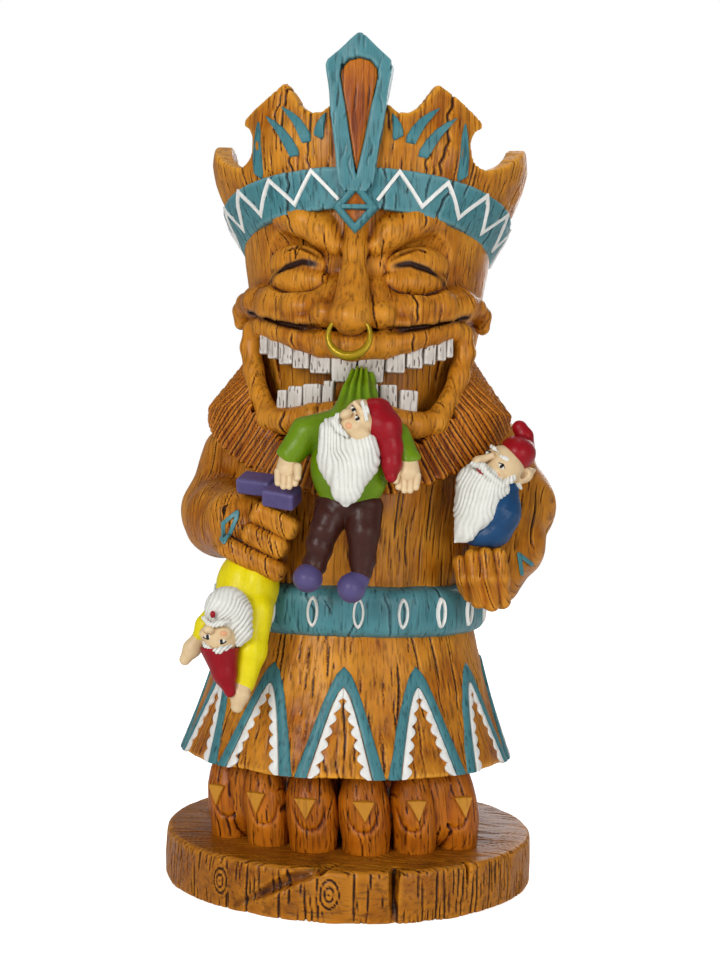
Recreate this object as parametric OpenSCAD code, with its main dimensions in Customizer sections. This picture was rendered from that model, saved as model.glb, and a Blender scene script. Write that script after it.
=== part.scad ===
// Tiki figure: a cast figure on a log slice, with three small gnomes.
// Units are millimetres, +Z is up, the figure faces -Y,
// and the origin is the centre of the underside of the base.

/* [Base and feet] */
// Radius of the log slice at its bulge
base_r = 91; // [86:1:96]
// Thickness of the log slice
base_h = 22; // [18:1:26]
// Width of the bevel round the top of the log slice
base_bevel = 2; // [1:0.5:5]
// Height of a toe above the log slice
toe_h = 39; // [34:1:42]

/* [Skirt and belt] */
// Height of the hem above the floor
hem_z = 60; // [56:1:64]
// Radius of the skirt at its hem
hem_r = 82; // [78:1:86]
// Height of the top of the skirt
skirt_top_z = 122; // [118:1:126]
// Radius of the skirt at its top
skirt_top_r = 62; // [58:1:65]
// Number of painted arches round the skirt
arch_count = 12; // [8:1:14]
// Height of an arch
arch_h = 50; // [40:1:54]
// How far the front arch is turned towards the left hand, in degrees
arch_turn = 3.5; // [0:0.5:15]
// Width of the coloured band that outlines an arch
arch_band = 6; // [4:0.5:8]
// Width of the white trim inside the coloured band
arch_trim = 3.5; // [2:0.5:5]
// Height of the top of the belt
belt_top_z = 145; // [142:1:148]
// Radius of the belt at its bulge
belt_r = 68; // [66:1:71]
// Number of pointed ovals round the belt
oval_count = 20; // [16:1:24]

/* [Body and head] */
// Radius of the body between belt and beard
torso_r = 60; // [56:1:63]
// Height of the shoulders
shoulder_z = 214; // [210:1:218]
// Radius of the head
head_r = 58; // [55:1:61]
// Height of the underside of the head
head_z = 214; // [212:1:218]
// Height of the top of the head inside the crown
crown_floor_z = 322; // [318:1:326]
// Width of the mouth opening
mouth_w = 74; // [66:1:78]

/* [Crown] */
// Height of the tip of the centre spike
spike_tip_z = 395; // [388:1:402]
// Radius of the crown at the head band
crown_low_r = 63; // [61:1:66]
// Radius of the crown at its rim
crown_rim_r = 79; // [74:1:82]
// Thickness of the crown wall
crown_wall = 6.5; // [5:0.5:8]

/* [Hidden] */
$fn = 48;

wood = "peru";
wood_dark = "sienna";
teal = "cadetblue";
skin = "bisque";

// Gap that keeps two cast pieces that touch from sharing space
gap = 0.15;

// Toes from the outer right one to the outer left one: x, y, radius
toe_places = [
    [-54, -26, 9], [-34.5, -41, 10.2], [-12.3, -47, 11.4],
    [12.3, -47, 11.4], [34.5, -41, 10.2], [54, -26, 9]];

// A ball at p; hull() keeps its facets, which every cast limb shares
module ball(p, r) {
    hull()
        translate(p)
            sphere(r = r, $fn = 16);
}

// A round bar from p to q, with a ball at each end
module limb(p, q, r1, r2) {
    hull() {
        ball(p, r1);
        ball(q, r2);
    }
}

// A ring or disc round the Z axis from a list of [radius, height] points
module turned(points) {
    rotate_extrude($fn = 96)
        polygon(points);
}

// A flat outline seen from the front, pushed from y = near to y = far
module front_cut(near, far) {
    translate([0, far, 0])
        rotate([90, 0, 0])
            linear_extrude(height = far - near)
                children();
}

// ---- base and feet ----

module base_log_slice() color(wood) {
    crack_x = 24;
    crack_half = 4;
    difference() {
        turned([[0, 0], [base_r - 1.5, 0], [base_r, base_h * 0.4],
                [base_r - 0.5, base_h - base_bevel * 1.4],
                [base_r - base_bevel, base_h], [0, base_h]]);
        translate([0, 0, 3])
            linear_extrude(height = base_h)
                polygon([[crack_x - crack_half, -base_r - 5], [crack_x - 2, -base_r + 16],
                         [crack_x + crack_half, -base_r - 5]]);
    }
}

module toe_shape(i) {
    x = toe_places[i][0];
    y = toe_places[i][1];
    r = toe_places[i][2];
    translate([x, y, base_h])
        cylinder(h = toe_h - r, r = r);
    translate([x, y, base_h + toe_h - r])
        sphere(r = r);
}

module toe(i) color(wood_dark) difference() {
    toe_shape(i);
    if (i > 0) toe_shape(i - 1);
    if (i == 3) translate([-50, -90, 0]) cube([50 + gap, 90, 90]);
    if (i == 2) translate([-gap, -90, 0]) cube([50, 90, 90]);
}

module foot_shape(side) {
    intersection() {
        translate([0, 4, base_h])
            cylinder(h = toe_h + 3, r = 55);
        translate([side > 0 ? 0.8 : -60.8, -48, base_h])
            cube([60, 100, toe_h + 3]);
    }
}

module foot(side) color(wood_dark) difference() {
    foot_shape(side);
    for (i = [0:5]) toe_shape(i);
}

module toe_nails() color("goldenrod")
    for (i = [0:5]) {
        t = toe_places[i];
        turn = -atan2(t[0], -t[1]) * 0.45;
        translate([t[0], t[1], 0])
            rotate([0, 0, -turn])
                difference() {
                    translate([0, -t[2] + 0.6, 0])
                        front_cut(-1.6, 1.5)
                            polygon([[-t[2] * 0.42, 47], [t[2] * 0.42, 47], [0, 37.5]]);
                    translate([0, 0, base_h - 1])
                        cylinder(h = toe_h - t[2] + 1, r = t[2]);
                    translate([0, 0, base_h + toe_h - t[2]])
                        sphere(r = t[2]);
                }
    }

// ---- skirt and belt ----

// Radius of the skirt's outside at height z
function skirt_r(z) = hem_r + (skirt_top_r - hem_r) * (z - hem_z) / (skirt_top_z - hem_z);

module skirt_solid(grow) {
    turned([[0, hem_z + 4], [hem_r - 9, hem_z + 4], [hem_r - 6, hem_z],
            [hem_r + grow, hem_z], [skirt_top_r + grow, skirt_top_z], [0, skirt_top_z]]);
}

module skirt() color(wood)
    skirt_solid(0);

// Half an arch's width at height z above the hem, pinched to a point at its top
function arch_half(t, inset) = (hem_r * PI / arch_count - inset)
    * pow(max(0, 1 - t / (1 - inset / arch_h)), 0.72);

module arch_outline(inset) {
    steps = 7;
    top = arch_h - inset * 1.4;
    right_side = [for (k = [0:steps]) [arch_half(k / steps * (1 - inset / arch_h), inset),
                                       hem_z - 1 + top * k / steps]];
    left_side = [for (k = [steps - 1:-1:0]) [-right_side[k][0], right_side[k][1]]];
    polygon(concat(right_side, left_side));
}

module arch_layer(outer, inner, grow) {
    wedge = 360 / arch_count;
    intersection() {
        difference() {
            skirt_solid(grow);
            translate([0, 0, hem_z - 1])
                cylinder(h = 5.01, r = hem_r - 4);
            turned([[0, hem_z - 1], [skirt_r(hem_z - 1) + gap, hem_z - 1],
                    [skirt_top_r + gap, skirt_top_z], [0, skirt_top_z + 1]]);
        }
        for (i = [0:arch_count - 1])
            rotate([0, 0, arch_turn + i * wedge])
                front_cut(-hem_r - 9, -40)
                    difference() {
                        arch_outline(outer);
                        arch_outline(inner);
                    }
    }
}

module skirt_arch_bands() color(teal)
    arch_layer(0.4, arch_band, 1.1);

module skirt_scallop_trim() color("white")
    arch_layer(arch_band + 0.3, arch_band + arch_trim, 0.9);

module belt() color(teal)
    turned([[0, skirt_top_z], [belt_r - 4, skirt_top_z], [belt_r - 0.8, skirt_top_z + 4],
            [belt_r, (skirt_top_z + belt_top_z) / 2], [belt_r - 0.8, belt_top_z - 4],
            [belt_r - 4, belt_top_z], [0, belt_top_z]]);

module oval_outline(half_w, half_h) {
    r = (half_h * half_h + half_w * half_w) / (2 * half_w);
    intersection() {
        translate([r - half_w, 0]) circle(r = r);
        translate([half_w - r, 0]) circle(r = r);
    }
}

module belt_ovals() color("white")
    for (i = [0:oval_count - 1])
        rotate([0, 0, (i + 0.5) * 360 / oval_count])
            translate([0, 0, (skirt_top_z + belt_top_z) / 2])
                front_cut(-belt_r - 1.1, -belt_r - 0.15)
                    difference() {
                        oval_outline(3.6, 8);
                        oval_outline(2.3, 6.2);
                    }

// ---- body and arms ----

module torso_solid()
    turned([[0, belt_top_z], [torso_r, belt_top_z], [torso_r + 1, 170],
            [torso_r + 2, 195], [torso_r - 6, shoulder_z], [0, shoulder_z]]);

module torso() color(wood)
    torso_solid();

right_shoulder = [-60, 4, 196];
right_elbow = [-69, -8, 172];
right_wrist = [-50, -56, 169];
left_shoulder = [62, 6, 200];
left_elbow = [76, -4, 180];
left_wrist = [72, -38, 152];

module right_upper_arm() color(wood) difference() {
    limb(right_shoulder, right_elbow, 17.5, 19.5);
    torso_solid();
}

module right_forearm() color(wood) difference() {
    limb(right_elbow + [0, -6, 0], right_wrist, 18, 15.5);
    limb(right_shoulder, right_elbow, 17.5, 19.5);
    torso_solid();
    belt_keep_out();
}

module belt_keep_out()
    translate([0, 0, skirt_top_z - 1])
        cylinder(h = belt_top_z - skirt_top_z + 1, r = belt_r + 1.2);

module finger_stack() {
    for (k = [0:2])
        limb([-46 + 3 * k, -69, 177 - 11.5 * k], [-29, -74 + k, 177 - 11.5 * k], 7.5, 7.5);
    limb([-47, -61, 166], [-38, -68, 165], 14, 13);
}

module right_fist() color(wood) difference() {
    finger_stack();
    limb(right_elbow + [0, -6, 0], right_wrist, 18, 15.5);
    torso_solid();
    belt_keep_out();
}

module left_upper_arm() color(wood) difference() {
    limb(left_shoulder, left_elbow, 19, 20);
    torso_solid();
}

module left_forearm() color(wood) difference() {
    limb(left_elbow + [0, -4, -4], left_wrist, 18, 15);
    limb(left_shoulder, left_elbow, 19, 20);
    torso_solid();
    belt_keep_out();
}

module left_hand_solid() {
    for (k = [0:2])
        limb([70 - 5 * k, -46 - 2 * k, 145 + 0.5 * k], [59 - 3.5 * k, -57 + k, 153 - 3 * k], 7, 6);
    limb([68, -45, 149], [62, -51, 149], 11, 10);
}

module left_hand() color(wood) difference() {
    left_hand_solid();
    limb(left_elbow + [0, -4, -4], left_wrist, 18, 15);
    torso_solid();
    belt_keep_out();
}

module arm_marks() color(teal) {
    difference() {
        translate([-57.5, -66, 173])
            rotate([0, 0, -32])
                front_cut(-8, 0)
                    polygon([[0, 8], [3, 0], [0, -8], [-3, 0]]);
        limb(right_elbow + [0, -6, 0], right_wrist, 18, 15.7);
        finger_stack();
    }
    difference() {
        translate([86, -26, 160])
            rotate([0, 0, 52])
                front_cut(-12, 2)
                    polygon([[0, 8], [7, -6], [4, -7], [0, 2], [-4, -7], [-7, -6]]);
        limb(left_elbow + [0, -4, -4], left_wrist, 18, 15.2);
        limb(left_shoulder, left_elbow, 19, 20.2);
    }
}

// ---- head ----

module head_solid()
    turned([[0, head_z], [head_r - 6, head_z], [head_r - 2, 235], [head_r, 262],
            [head_r, 300], [crown_low_r - crown_wall, 318], [crown_low_r - crown_wall, crown_floor_z],
            [0, crown_floor_z]]);

mouth_low_z = 221;
mouth_high_z = 256;

module mouth_outline() {
    half = mouth_w / 2;
    polygon([[-half, mouth_high_z], [half, mouth_high_z], [half - 4, 232],
             [half - 12, mouth_low_z], [12 - half, mouth_low_z], [4 - half, 232]]);
}

module head() color(wood) difference() {
    head_solid();
    front_cut(-80, -38)
        mouth_outline();
}

module face_shell(low_z, high_z, inner, outer)
    translate([0, 0, low_z])
        difference() {
            cylinder(h = high_z - low_z, r = outer, $fn = 96);
            translate([0, 0, -1])
                cylinder(h = high_z - low_z + 2, r = inner, $fn = 96);
        }

module brows() color(wood)
    for (side = [-1, 1])
        difference() {
            limb([side * 14, -56, 302], [side * 36, -44, 300], 8, 7);
            head_solid();
            limb([0, -62, 300], [0, -70, 266], 8, 10);
            crown_keep_out();
        }

module eyelids() color(wood)
    for (side = [-1, 1])
        difference() {
            limb([side * 21, -53, 283], [side * 33, -47, 282], 7.5, 6.5);
            head_solid();
            limb([side * 14, -56, 302], [side * 36, -44, 300], 8, 7);
            limb([0, -62, 300], [0, -70, 266], 8, 10);
        }

module nose_solid() {
    limb([0, -62, 300], [0, -70, 266], 8, 10);
    for (side = [-1, 1])
        limb([side * 9, -65, 266], [side * 13, -60, 267], 7, 6);
}

module nose() color(wood) difference() {
    nose_solid();
    head_solid();
    crown_keep_out();
}

module nose_ring() color("darkgoldenrod") difference() {
    translate([0, -79, 258])
        rotate([90, 0, 0])
            rotate_extrude()
                translate([9.2, 0])
                    circle(r = 1.6);
    translate([-20, -90, 262]) cube([40, 30, 20]);
}

module upper_lip() color(wood) difference() {
    intersection() {
        face_shell(248, 276, head_r - 1, head_r + 14);
        front_cut(-84, -30)
            polygon([[-52, 274], [-30, 262], [0, 259], [30, 262], [52, 274], [48, 262],
                     [38, 257], [0, 250], [-38, 257], [-48, 262]]);
    }
    head_solid();
    nose_solid();
    nose_ring_keep_out();
}

module nose_ring_keep_out()
    translate([-12, -82, 245]) cube([24, 6, 20]);

module lower_lip() color(wood) difference() {
    intersection() {
        face_shell(208, 262, head_r - 6, head_r + 11);
        front_cut(-84, -30)
            difference() {
                polygon([[-52, 262], [-50, 236], [-42, 216], [-24, 209], [24, 209],
                         [42, 216], [50, 236], [52, 262]]);
                polygon([[-38, 262], [-37.5, 240], [-31, 225], [0, 220], [31, 225],
                         [37.5, 240], [38, 262]]);
            }
    }
    head_solid();
    front_cut(-84, -30)
        polygon([[-52, 274], [-30, 262], [0, 259], [30, 262], [52, 274], [48, 262],
                 [38, 257], [0, 250], [-38, 257], [-48, 262]]);
    front_cut(-90, -67) mouth_outline();
}

module cheek_scrolls() color(wood)
    for (side = [-1, 1])
        difference() {
            limb([side * 55, -22, 270], [side * 50, -34, 272], 7, 6);
            head_solid();
            face_shell(248, 276, head_r - 1, head_r + 14);
        }

module tooth_row(low_z, high_z, widths, y_front) {
    total = [for (i = 0, s = 0; i <= len(widths); s = s + (i < len(widths) ? widths[i] : 0), i = i + 1) s];
    span_w = total[len(widths)];
    for (i = [0:len(widths) - 1])
        translate([total[i] - span_w / 2 + 0.2, y_front, low_z])
            cube([widths[i] - 0.4, 7, high_z - low_z]);
}

module upper_teeth() color("white") difference() {
    tooth_row(238, 256, [8, 9, 10, 12.5, 12.5, 10, 8], -66);
    nose_ring_keep_out();
}

module lower_teeth() color("white")
    difference() {
        tooth_row(221.5, 235, [10, 11, 11, 11, 11, 10], -64);
        translate([-1, -70, 220]) cube([12, 20, 20]);
    }

module beard_solid() {
    intersection() {
        difference() {
            translate([0, 4, 180])
                cylinder(h = 76, r1 = 79, r2 = 64, $fn = 96);
            translate([0, 4, 179])
                cylinder(h = 78, r1 = 66, r2 = 56, $fn = 96);
        }
        front_cut(-90, -16)
            polygon([[-58, 256], [-78, 228], [-76, 214], [-60, 208], [-46, 199], [-16, 186],
                     [8, 183], [30, 190], [48, 199], [62, 207], [78, 217], [78, 232], [58, 256]]);
    }
}

module beard() color(wood) difference() {
    beard_solid();
    head_solid();
    torso_solid();
    lip_keep_out();
    limb(left_shoulder, left_elbow, 19, 20);
    limb(right_shoulder, right_elbow, 17.5, 19.5);
}

module lip_keep_out()
    intersection() {
        face_shell(207, 277, head_r - 8, head_r + 15);
        front_cut(-84, -30)
            polygon([[-52.2, 277], [-50.2, 236], [-42.2, 215.8], [-24, 208.8], [24, 208.8],
                     [42.2, 215.8], [50.2, 236], [52.2, 277]]);
    }

// ---- crown ----

crown_low_z = 286;
crown_bend_z = 304;
crown_rim_z = 347;
// Tilt of the head band, which hangs lower at the back
band_tilt = 13;
band_h = 19;
// Height of the middle of the head band at the front
band_front_z = 326;

// Radius of the crown's outside at height z, straight up to its bend and flared above
function crown_r(z) = crown_low_r
    + (crown_rim_r - crown_low_r) * max(0, z - crown_bend_z) / (crown_rim_z - crown_bend_z);

module crown_keep_out()
    turned([[head_r + 0.2, crown_low_z - 4], [crown_low_r + 6, crown_low_z - 4],
            [crown_rim_r, 330], [head_r + 0.2, 330]]);

// The wall that the prongs and horns are cut from
module crown_wall_solid()
    turned([[head_r + gap, crown_low_z], [crown_low_r, crown_low_z], [crown_low_r, crown_bend_z],
            [crown_rim_r, crown_rim_z], [crown_rim_r - 3, 380], [crown_rim_r - 3 - crown_wall, 380],
            [crown_rim_r - crown_wall - 1.5, crown_rim_z], [crown_low_r - crown_wall + gap, 320],
            [crown_low_r - crown_wall + gap, 318], [head_r + gap, 300]]);

// A round-bottomed valley in the rim, at angle a from the front, open at its top
module rim_valley(a, low_z, r)
    rotate([0, 0, a])
        front_cut(-crown_rim_r - 20, -40) {
            translate([0, low_z + r]) circle(r = r);
            translate([-r, low_z + r]) square([2 * r, 80]);
        }

// A slanting cut that leaves a prong higher on its front side, open at its top
module rim_slope(a, half_w, front_z, back_z)
    rotate([0, 0, a])
        front_cut(-crown_rim_r - 20, -40)
            polygon([[-half_w, back_z], [half_w, front_z], [half_w, 420], [-half_w, 420]]);

// Everything under a plane that tilts with the band, z high at the front of the wall
module under_band_plane(z)
    translate([0, -crown_low_r, z])
        rotate([-band_tilt, 0, 0])
            translate([-120, -40, -80]) cube([240, 260, 80]);

module crown() color(wood) difference() {
    crown_wall_solid();
    under_band_plane(band_front_z - band_h / 2 + 3);
    for (side = [-1, 1]) {
        rim_valley(side * 15, 360, 7);
        rim_valley(side * 56, 343, 8);
        rim_valley(side * 118, 340, 12);
        rim_valley(side * 158, 340, 12);
    }
    rim_slope(-36, 17, 378, 366);
    mirror([1, 0, 0]) rim_slope(-36, 17, 378, 366);
    for (a = [90, 138, 180, 222, 270])
        rim_slope(a, 24, 357, 357);
    translate([-15, -100, 360]) cube([30, 60, 60]);
    front_cut(-100, -40)
        spike_outline(0.3);
}

module spike_outline(grow)
    polygon([[-8 - grow, 327], [8 + grow, 327], [15.5 + grow, 381], [0, spike_tip_z + grow],
             [-15.5 - grow, 381]]);

module centre_spike() color(teal)
    translate([0, -63.5, 0])
        front_cut(-9, 0)
            difference() {
                spike_outline(0);
                translate([0, -2]) polygon([[-0.8, 333], [0.8, 333], [9.5, 378], [0, 386], [-9.5, 378]]);
            }

module centre_spike_inlay() color(wood)
    translate([0, -63.5, 0])
        front_cut(-7, -1)
            translate([0, -2]) polygon([[-0.6, 334], [0.6, 334], [9.3, 378], [0, 385.7], [-9.3, 378]]);

// A skin on the crown between two tilted planes, low and high from the band's middle
module band_shell(low, high, grow_in, grow_out)
    difference() {
        turned([[crown_low_r + grow_in, 280], [crown_low_r + grow_out, 280],
                [crown_low_r + grow_out, crown_bend_z], [crown_r(345) + grow_out, 345],
                [crown_r(345) + grow_in, 345], [crown_low_r + grow_in, crown_bend_z]]);
        under_band_plane(band_front_z + low);
        translate([0, -crown_low_r, band_front_z + high])
            rotate([-band_tilt, 0, 0])
                translate([-120, -40, 0]) cube([240, 260, 80]);
    }

module crown_band() color(teal) difference() {
    band_shell(-band_h / 2, band_h / 2, gap, 2.2);
    front_cut(-100, -40) spike_outline(0.3);
    front_cut(-100, -40) diamond_outline(12.3);
}

module diamond_outline(half)
    translate([0, 317.5]) polygon([[0, half], [half * 0.9, 0], [0, -half], [-half * 0.9, 0]]);

module band_diamond() color(teal)
    translate([0, -64.5, 0])
        front_cut(-8.5, 0)
            difference() {
                intersection() {
                    diamond_outline(12);
                    translate([-20, 300]) square([40, 26.8]);
                }
                translate([0, 319.5]) polygon([[0, 5], [4.5, 0], [-4.5, 0]]);
                translate([0, 315.5]) polygon([[0, -5], [4.5, 0], [-4.5, 0]]);
            }

// Height of the middle of the tilted band at angle a from the front
function band_z(a) = band_front_z - crown_low_r * tan(band_tilt) * (1 - cos(a));

module band_zigzag() color("white") {
    step = 7.6;
    for (side = [-1, 1])
        for (i = [1:12]) {
            a = side * (5 + step * i);
            lean = atan2(crown_low_r * step * PI / 180, 11) * (i % 2 == 0 ? 1 : -1) * side;
            rotate([0, 0, a])
                translate([0, -crown_r(band_z(a)) - 3.2, band_z(a)])
                    rotate([-14, lean, 0])
                        translate([-0.9, 0, -6.4])
                            cube([1.8, 0.9, 12.8]);
        }
}

module crown_feather_marks() color(teal)
    for (a = [[-30, 350, 20], [-40, 352, 10], [-47, 349, -4], [30, 350, -20], [40, 352, -10], [47, 349, 4]])
        rotate([0, 0, a[0]])
            translate([0, -crown_rim_r - 1.2, a[1]])
                front_cut(0, 0.9)
                    rotate(a[2])
                        polygon([[0, 8], [2.2, -2], [0, -8], [-2.2, -2]]);

// ---- green gnome, held in the teeth ----

module green_shirt_solid() {
    limb([4, -82, 208], [4, -83, 192], 13.5, 12);
    limb([5, -72, 235], [4, -80, 214], 5, 9);
    limb([-8, -82, 216], [-23, -84, 207], 7.5, 6);
    limb([16, -82, 217], [27, -84, 208], 7.5, 6);
}

module green_gnome_shirt() color("olivedrab") difference() {
    green_shirt_solid();
    statue_front();
    tooth_space();
}

// What the green gnome hangs against: body, belt, beard and lower lip
module statue_front() {
    torso_solid();
    beard_solid();
    lip_keep_out();
    belt_keep_out();
}

module tooth_space() {
    translate([-40, -66.2, 237.8]) cube([80, 10, 20]);
    translate([-40, -64.2, 221]) cube([80, 10, 14.2]);
}

module green_trousers_solid() {
    limb([-3, -80, 181], [-10, -84, 166], 8.5, 7);
    limb([11, -80, 181], [9, -84, 166], 8.5, 7);
    limb([-10, -84, 166], [-14, -82, 153], 7, 6.3);
    limb([9, -84, 166], [8, -82, 153], 7, 6.3);
}

module green_gnome_trousers() color("saddlebrown") difference() {
    green_trousers_solid();
    green_shirt_solid();
    statue_front();
}

module green_gnome_boots() color("slateblue") difference() {
    union() {
        limb([-13, -82, 147], [-16, -88, 146], 6, 5.5);
        limb([7, -82, 146], [5, -89, 144], 6, 5.5);
    }
    green_trousers_solid();
    statue_front();
}

module green_head_solid() {
    ball([4, -92, 219], 9.5);
    ball([1, -101, 221], 3);
}

module green_gnome_head() color(skin) difference() {
    green_head_solid();
    green_shirt_solid();
    statue_front();
}

module green_gnome_beard() color("white") difference() {
    union() {
        limb([-1, -95, 209], [-2, -96, 197], 10, 8.5);
        limb([-2, -96, 197], [0, -98, 185], 8.5, 3);
    }
    green_shirt_solid();
    green_head_solid();
    green_hat_solid();
}

module green_hat_solid() {
    limb([9, -90, 222], [19, -93, 214], 10, 8);
    limb([19, -93, 214], [20, -93, 196], 8, 4);
}

module green_gnome_hat() color("crimson") difference() {
    green_hat_solid();
    green_shirt_solid();
    green_head_solid();
    statue_front();
}

module green_gnome_hands() color(skin) difference() {
    union() {
        limb([-24, -87, 200], [-22, -88, 193], 5, 4.2);
        limb([28, -86, 200], [26, -87, 193], 5, 4.2);
    }
    green_shirt_solid();
    statue_front();
    finger_stack();
}

// ---- blue gnome, under the left arm ----

module blue_shirt_solid()
    limb([70, -50, 190], [68, -50, 174], 11, 11);

module blue_gnome_shirt() color("steelblue") difference() {
    blue_shirt_solid();
    arm_space();
    statue_front();
}

module arm_space() {
    limb(left_elbow + [0, -4, -4], left_wrist, 18, 15);
    limb(left_shoulder, left_elbow, 19, 20);
    left_hand_solid();
}

module blue_head_solid() {
    ball([68, -50, 203], 11);
    limb([76, -48, 202], [85, -42, 198], 4, 2);
    ball([57, -60, 203], 3.2);
}

module blue_gnome_head() color(skin) difference() {
    blue_head_solid();
    blue_shirt_solid();
    arm_space();
    statue_front();
}

module blue_beard_solid() {
    limb([61, -57, 196], [58, -60, 185], 9.5, 9);
    limb([58, -60, 185], [51, -62, 169], 9, 3);
}

module blue_gnome_beard() color("white") difference() {
    blue_beard_solid();
    blue_head_solid();
    blue_shirt_solid();
    arm_space();
    statue_front();
}

module blue_hat_solid()
    limb([73, -47, 209], [78, -41, 216], 10.5, 8);

module blue_gnome_hat() color("crimson") difference() {
    blue_hat_solid();
    blue_head_solid();
    statue_front();
    arm_space();
}

// ---- yellow gnome, upside down in the right fist ----

module yellow_shirt_solid() {
    limb([-41, -72, 142], [-44, -76, 126], 14, 13);
    limb([-38, -78, 120], [-42, -82, 103], 6.5, 5.5);
    limb([-52, -76, 124], [-64, -78, 118], 6, 4.5);
}

module skirt_space() {
    skirt_solid(1.3);
    belt_keep_out();
    finger_stack();
}

module yellow_gnome_shirt() color("gold") difference() {
    yellow_shirt_solid();
    skirt_space();
    torso_solid();
}

module yellow_head_solid() {
    ball([-54, -86, 122], 8.5);
    ball([-60, -93, 122], 2.4);
}

module yellow_gnome_head() color(skin) difference() {
    yellow_head_solid();
    yellow_shirt_solid();
    skirt_space();
}

module yellow_beard_solid()
    limb([-52, -86, 134], [-49, -84, 142], 9.5, 7);

module yellow_gnome_beard() color("white") difference() {
    yellow_beard_solid();
    yellow_head_solid();
    yellow_shirt_solid();
    skirt_space();
}

module yellow_hat_solid()
    limb([-54, -87, 115], [-47, -88, 101], 8.5, 2.5);

module yellow_gnome_hat() color("crimson") difference() {
    yellow_hat_solid();
    yellow_head_solid();
    yellow_shirt_solid();
    skirt_space();
}

module yellow_gnome_hands() color(skin) difference() {
    union() {
        limb([-67, -79, 115], [-70, -80, 110], 4, 3.4);
        limb([-43, -84, 98], [-43, -86, 92], 4.2, 3.4);
    }
    yellow_shirt_solid();
    yellow_hat_solid();
    skirt_space();
}

module yellow_gnome_boots() color("slateblue") difference() {
    union() {
        limb([-50, -70, 188], [-38, -76, 190], 5, 5);
        limb([-34, -78, 186], [-27, -83, 184], 5.5, 5);
    }
    finger_stack();
    beard_solid();
    limb(right_elbow + [0, -6, 0], right_wrist, 18, 15.5);
}

base_log_slice();
foot(-1);  // right_foot
foot(1);  // left_foot
for (i = [0:5])
    toe(i);
toe_nails();
skirt();
skirt_arch_bands();
skirt_scallop_trim();
belt();
belt_ovals();
torso();
right_upper_arm();
right_forearm();
right_fist();
left_upper_arm();
left_forearm();
left_hand();
arm_marks();
beard();
head();
brows();
eyelids();
nose();
nose_ring();
upper_lip();
lower_lip();
cheek_scrolls();
upper_teeth();
lower_teeth();
crown();
crown_band();
band_zigzag();
band_diamond();
centre_spike();
centre_spike_inlay();
crown_feather_marks();
green_gnome_shirt();
green_gnome_trousers();
green_gnome_boots();
green_gnome_head();
green_gnome_beard();
green_gnome_hat();
green_gnome_hands();
blue_gnome_shirt();
blue_gnome_head();
blue_gnome_beard();
blue_gnome_hat();
yellow_gnome_shirt();
yellow_gnome_head();
yellow_gnome_beard();
yellow_gnome_hat();
yellow_gnome_hands();
yellow_gnome_boots();
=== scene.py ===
"""Looks of the tiki figure: clay-like distance fields become meshes, with painted, varnished finishes.

Lengths inside this script are millimetres in the row frame until a mesh is made, which turns them to metres.
"""
import math

import bmesh
import bpy
import numpy as np
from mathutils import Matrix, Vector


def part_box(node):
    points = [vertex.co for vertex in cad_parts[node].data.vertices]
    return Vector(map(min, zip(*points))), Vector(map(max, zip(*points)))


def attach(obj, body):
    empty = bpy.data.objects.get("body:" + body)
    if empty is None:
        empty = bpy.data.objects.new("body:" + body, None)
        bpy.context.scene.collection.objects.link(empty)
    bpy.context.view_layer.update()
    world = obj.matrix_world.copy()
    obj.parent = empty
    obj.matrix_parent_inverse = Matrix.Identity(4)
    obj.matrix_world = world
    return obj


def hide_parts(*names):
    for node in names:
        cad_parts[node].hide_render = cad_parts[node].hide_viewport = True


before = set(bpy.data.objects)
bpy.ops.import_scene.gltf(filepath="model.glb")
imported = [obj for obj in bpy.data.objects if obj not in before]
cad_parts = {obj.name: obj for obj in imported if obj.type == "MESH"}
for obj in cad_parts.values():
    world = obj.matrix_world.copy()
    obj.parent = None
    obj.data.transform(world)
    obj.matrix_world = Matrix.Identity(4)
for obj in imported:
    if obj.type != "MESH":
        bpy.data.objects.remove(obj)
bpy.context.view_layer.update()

import openvdb

MM = 0.001


# ---- places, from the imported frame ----

def box(node):
    low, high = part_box(node)
    return np.array(low) / MM, np.array(high) / MM


def middle(node):
    low, high = box(node)
    return (low + high) / 2


BASE_LOW, BASE_HIGH = box("base_log_slice")
AXIS_X, AXIS_Y = (BASE_LOW + BASE_HIGH)[:2] / 2
BASE_TOP = BASE_HIGH[2]
BASE_R = (BASE_HIGH[0] - BASE_LOW[0]) / 2
SKIRT_LOW, SKIRT_HIGH = box("skirt")
HEM_R = (SKIRT_HIGH[0] - SKIRT_LOW[0]) / 2
HEM_Z, SKIRT_TOP = SKIRT_LOW[2], SKIRT_HIGH[2]
BELT_LOW, BELT_HIGH = box("belt")
BELT_R = (BELT_HIGH[0] - BELT_LOW[0]) / 2
HEAD_LOW, HEAD_HIGH = box("head")
HEAD_R = (HEAD_HIGH[0] - HEAD_LOW[0]) / 2
HEAD_Z = HEAD_LOW[2]
CROWN_LOW, CROWN_HIGH = box("crown")
TORSO_LOW, TORSO_HIGH = box("torso")
TORSO_R = (TORSO_HIGH[0] - TORSO_LOW[0]) / 2
SPIKE_LOW, SPIKE_HIGH = box("centre_spike")
BAND_LOW, BAND_HIGH = box("crown_band")


# ---- noise ----

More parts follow.
